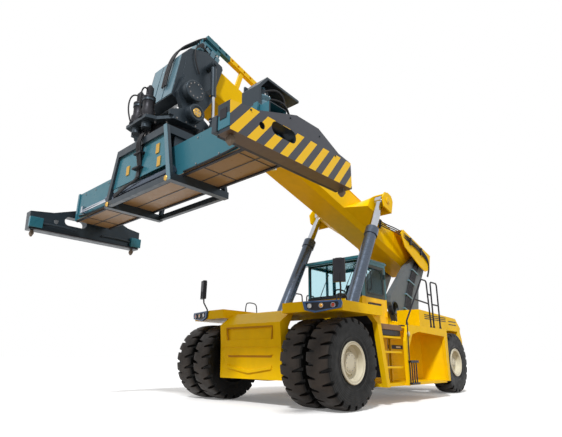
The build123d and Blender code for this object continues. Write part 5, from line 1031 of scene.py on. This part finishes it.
def main_beam_details():
    """Bolts on the beam's faces, seams and rails below it, end collars and hoses."""
    for name, sign in (("front", 1), ("back", -1)):
        wall = SPREADER_X + sign * 0.402
        rows = [(wall, y * s, z) for s in (1, -1) for y in (1.45, 2.00, 2.45) for z in (3.74, 4.19)]
        bolts(f"beam_bolts_{name}", rows, (sign, 0, 0), 0.012, 0.012, "spreader", steel)
    seams = [rectangle(4.04, 4.82, s * y - 0.008, s * y + 0.008) for s in (1, -1) for y in (1.55, 2.35)]
    seams.append(rectangle(4.42, 4.44, -BEAM_END_Y, BEAM_END_Y))
    plates("beam_under_seams", [(seam, 3.662, 3.669) for seam in seams], top_place, "spreader", slate, 0.002)
    rails = [(rectangle(x - 0.022, x + 0.022, -BEAM_END_Y, BEAM_END_Y), 3.64, 3.67) for x in (4.06, 4.8)]
    plates("beam_under_rails", rails, top_place, "spreader", black)
    collar = rectangle(4.83, 4.852, 3.66, 4.272)
    collars = [(collar, s * 2.72, s * 2.8) for s in (1, -1)]
    plates("beam_end_collars", collars, side_place, "spreader", teal, 0.003)
    run = ((HOSE_X, 1.15, 3.685), (HOSE_X, 1.9, 3.685), (HOSE_X, 2.3, 3.7), (HOSE_X, 2.62, 3.74))
    pipes("beam_hoses", [on_side(s, run) for s in (1, -1)], 0.016, "spreader", hose_black)


def end_details(side, sign):
    """Flange, lock boxes, lock rods and bolts of an end beam."""
    body = f"beam_{side}"
    lip = [(rectangle(3.22, 5.62, 3.352, 3.378), sign * 2.93, sign * 2.992)]
    plates(f"end_inner_flange_{side}", lip, side_place, body, black)
    locks = [(lock, SPREADER_X + lock * LOCK_REACH) for lock in (1, -1)]
    boxes = [(rectangle(x - 0.13, x + 0.13, 3.385, 3.6), sign * 2.9, sign * 2.989) for _, x in locks]
    plates(f"lock_boxes_{side}", boxes, side_place, body, slate if side == "left" else teal, 0.008)
    rods = [[(x - lock * reach, sign * 2.945, z) for reach, z in ((0.14, 3.5), (0.45, 3.52), (0.85, 3.5))]
            for lock, x in locks]
    pipes(f"lock_rods_{side}", rods, 0.02, body, slate)
    ends = [(x, sign * (END_FACE_Y + 0.001), z) for x, z in END_BOLTS]
    bolts(f"end_bolts_{side}", ends, (0, sign, 0), 0.012, 0.01, body, slate)


def end_face_details():
    """Plate and slot on the left end beam's front face."""
    # the black slot is painted shade inside the opening
    slot = [(rectangle(3.03, 3.15, 3.52, 3.66), 5.672, 5.68)]
    plates("end_face_slot_shade", slot, front_place, "beam_left", black, 0.002)
    plate = [(rectangle(2.995, 3.205, 3.4, 3.725), 5.655, 5.672)]
    plates("end_face_plate", plate, front_place, "beam_left", teal)


def drive_details():
    """Motor, valve and hoses under the drive hood."""
    base = Vector((4.59, 2.6, 4.29))
    up = (0, 0, 1)
    motor = ((0.165, 0), (0.165, 0.03), (0.14, 0.035), (0.15, 0.09), (0.15, 0.12), (0.12, 0.13),
             (0.12, 0.17), (0.155, 0.19), (0.155, 0.215), (0.095, 0.235), (0.095, 0.31), (0.06, 0.32),
             (0.06, 0.4), (0, 0.4))
    turned("drive_motor", [(motor, base, up)], "spreader", light_teal, 36)
    places = circle_places(base + Vector((0, 0, 0.215)), 0.14, 10, "z")
    bolts("drive_motor_bolts", places, up, 0.01, 0.02, "spreader", steel)
    hoses = [[(4.62, 2.68, 4.58), (4.5, 2.78, 4.66), (4.3, 2.8, 4.6), (4.22, 2.74, 4.4), (4.16, 2.7, 4.31)],
             [(4.56, 2.7, 4.48), (4.42, 2.8, 4.5), (4.2, 2.8, 4.44), (4.06, 2.72, 4.31)]]
    pipes("drive_hoses", hoses, 0.018, "spreader", hose_black)
    block = [(rectangle(4.0, 4.16, 4.29, 4.46), 2.5, 2.68)]
    plates("drive_valve", block, side_place, "spreader", black, 0.01)
    cap = ((0.03, 0), (0.03, 0.04), (0.02, 0.05), (0, 0.05))
    turned("drive_valve_caps", [(cap, (x, 2.59, 4.46), up) for x in (4.04, 4.12)], "spreader", brass, 20)


def both_sides(*details):
    """Runs each function for the left side, then for the right."""
    for detail in details:
        for side, sign in SIDES:
            detail(side, sign)


both_sides(tyres, wheel_details, lamp_details, mirror_details)
nose_details()
both_sides(front_details)
windscreen_details()
door_details()
both_sides(flank_details, hood_details)
tail_details()
both_sides(post_details)
valve_details()
both_sides(boom_details)
head_details()
both_sides(tube_details, rotator_details)
ring_details()
shift_frame_details()
main_beam_details()
both_sides(end_details)
end_face_details()
drive_details()

# ---------------------------------------------------------------- stage
FLOOR_SEEN = (0.93, 0.93, 0.93)
FLOOR_BOUNCE = (0.4, 0.31, 0.22)
FLOOR_GLOW = 0.16
FLOOR_SIZE = 400
AMBIENT = 0.62
SUN_STRENGTH = 2.7
SUN_WIDTH = math.radians(6)
TO_SUN = Vector((0.7, 0.38, 0.76))
CAMERA_AT = Vector((8.5545, 6.6522, 0.8684))
YAW, PITCH, ROLL = math.radians(180 + 42.436), math.radians(17.629), math.radians(0.56)
SENSOR_WIDTH = 36
LENS = 28.14


def seen_rays(tree):
    """1 for rays that the camera sees straight, mirrored or through glass."""
    ray = add_node(tree, "LightPath", {}).outputs
    seen = math_node(tree, "MAXIMUM", ray["Is Camera Ray"], ray["Is Glossy Ray"])
    return math_node(tree, "MAXIMUM", seen, ray["Is Transmission Ray"])


def lay_floor():
    """A pale floor that throws a warm, darker light back at the machine."""
    bpy.ops.mesh.primitive_plane_add(size=FLOOR_SIZE, location=(0, 0, -0.002))
    floor = bpy.context.object
    floor.name = "floor"
    material, tree, bsdf = new_material("pale_floor")
    seen = seen_rays(tree)
    wire(tree, bsdf, {
        "Base Color": mix_colour(tree, seen, FLOOR_BOUNCE, FLOOR_SEEN), "Roughness": 0.95,
        "Specular IOR Level": 0.0, "Emission Color": (1, 1, 1, 1),
        "Emission Strength": remap(tree, seen, 0.0, 1.0, 0.0, FLOOR_GLOW),
    })
    floor.data.materials.append(material)


def light_scene():
    """A white surround, dimmer as light than as it is seen, and one soft sun."""
    world = bpy.data.worlds.new("pale")
    bpy.context.scene.world = world
    world.use_nodes = True
    tree = world.node_tree
    strength = remap(tree, seen_rays(tree), 0.0, 1.0, AMBIENT, 1.0)
    wire(tree, tree.nodes["Background"], {"Color": (1, 1, 1, 1), "Strength": strength})
    sun_data = bpy.data.lights.new("sun", "SUN")
    sun_data.energy = SUN_STRENGTH
    sun_data.angle = SUN_WIDTH
    sun = bpy.data.objects.new("sun", sun_data)
    bpy.context.collection.objects.link(sun)
    sun.rotation_mode = "QUATERNION"
    sun.rotation_quaternion = TO_SUN.to_track_quat("Z", "Y")


def place_camera():
    """The camera stands low at the machine's front left and looks up at the spreader."""
    look = Vector((math.cos(YAW) * math.cos(PITCH), math.sin(YAW) * math.cos(PITCH), math.sin(PITCH)))
    right = Vector((math.sin(YAW), -math.cos(YAW), 0))
    up = right.cross(look)
    data = bpy.data.cameras.new("camera")
    data.sensor_width = SENSOR_WIDTH
    data.lens = LENS
    data.clip_end = 500
    camera = bpy.data.objects.new("camera", data)
    bpy.context.collection.objects.link(camera)
    turn = Matrix((right, up, -look)).transposed().to_4x4() @ Matrix.Rotation(ROLL, 4, "Z")
    camera.matrix_world = Matrix.Translation(CAMERA_AT) @ turn
    bpy.context.scene.camera = camera


lay_floor()
light_scene()
place_camera()
bpy.context.scene.view_settings.view_transform = "Standard"
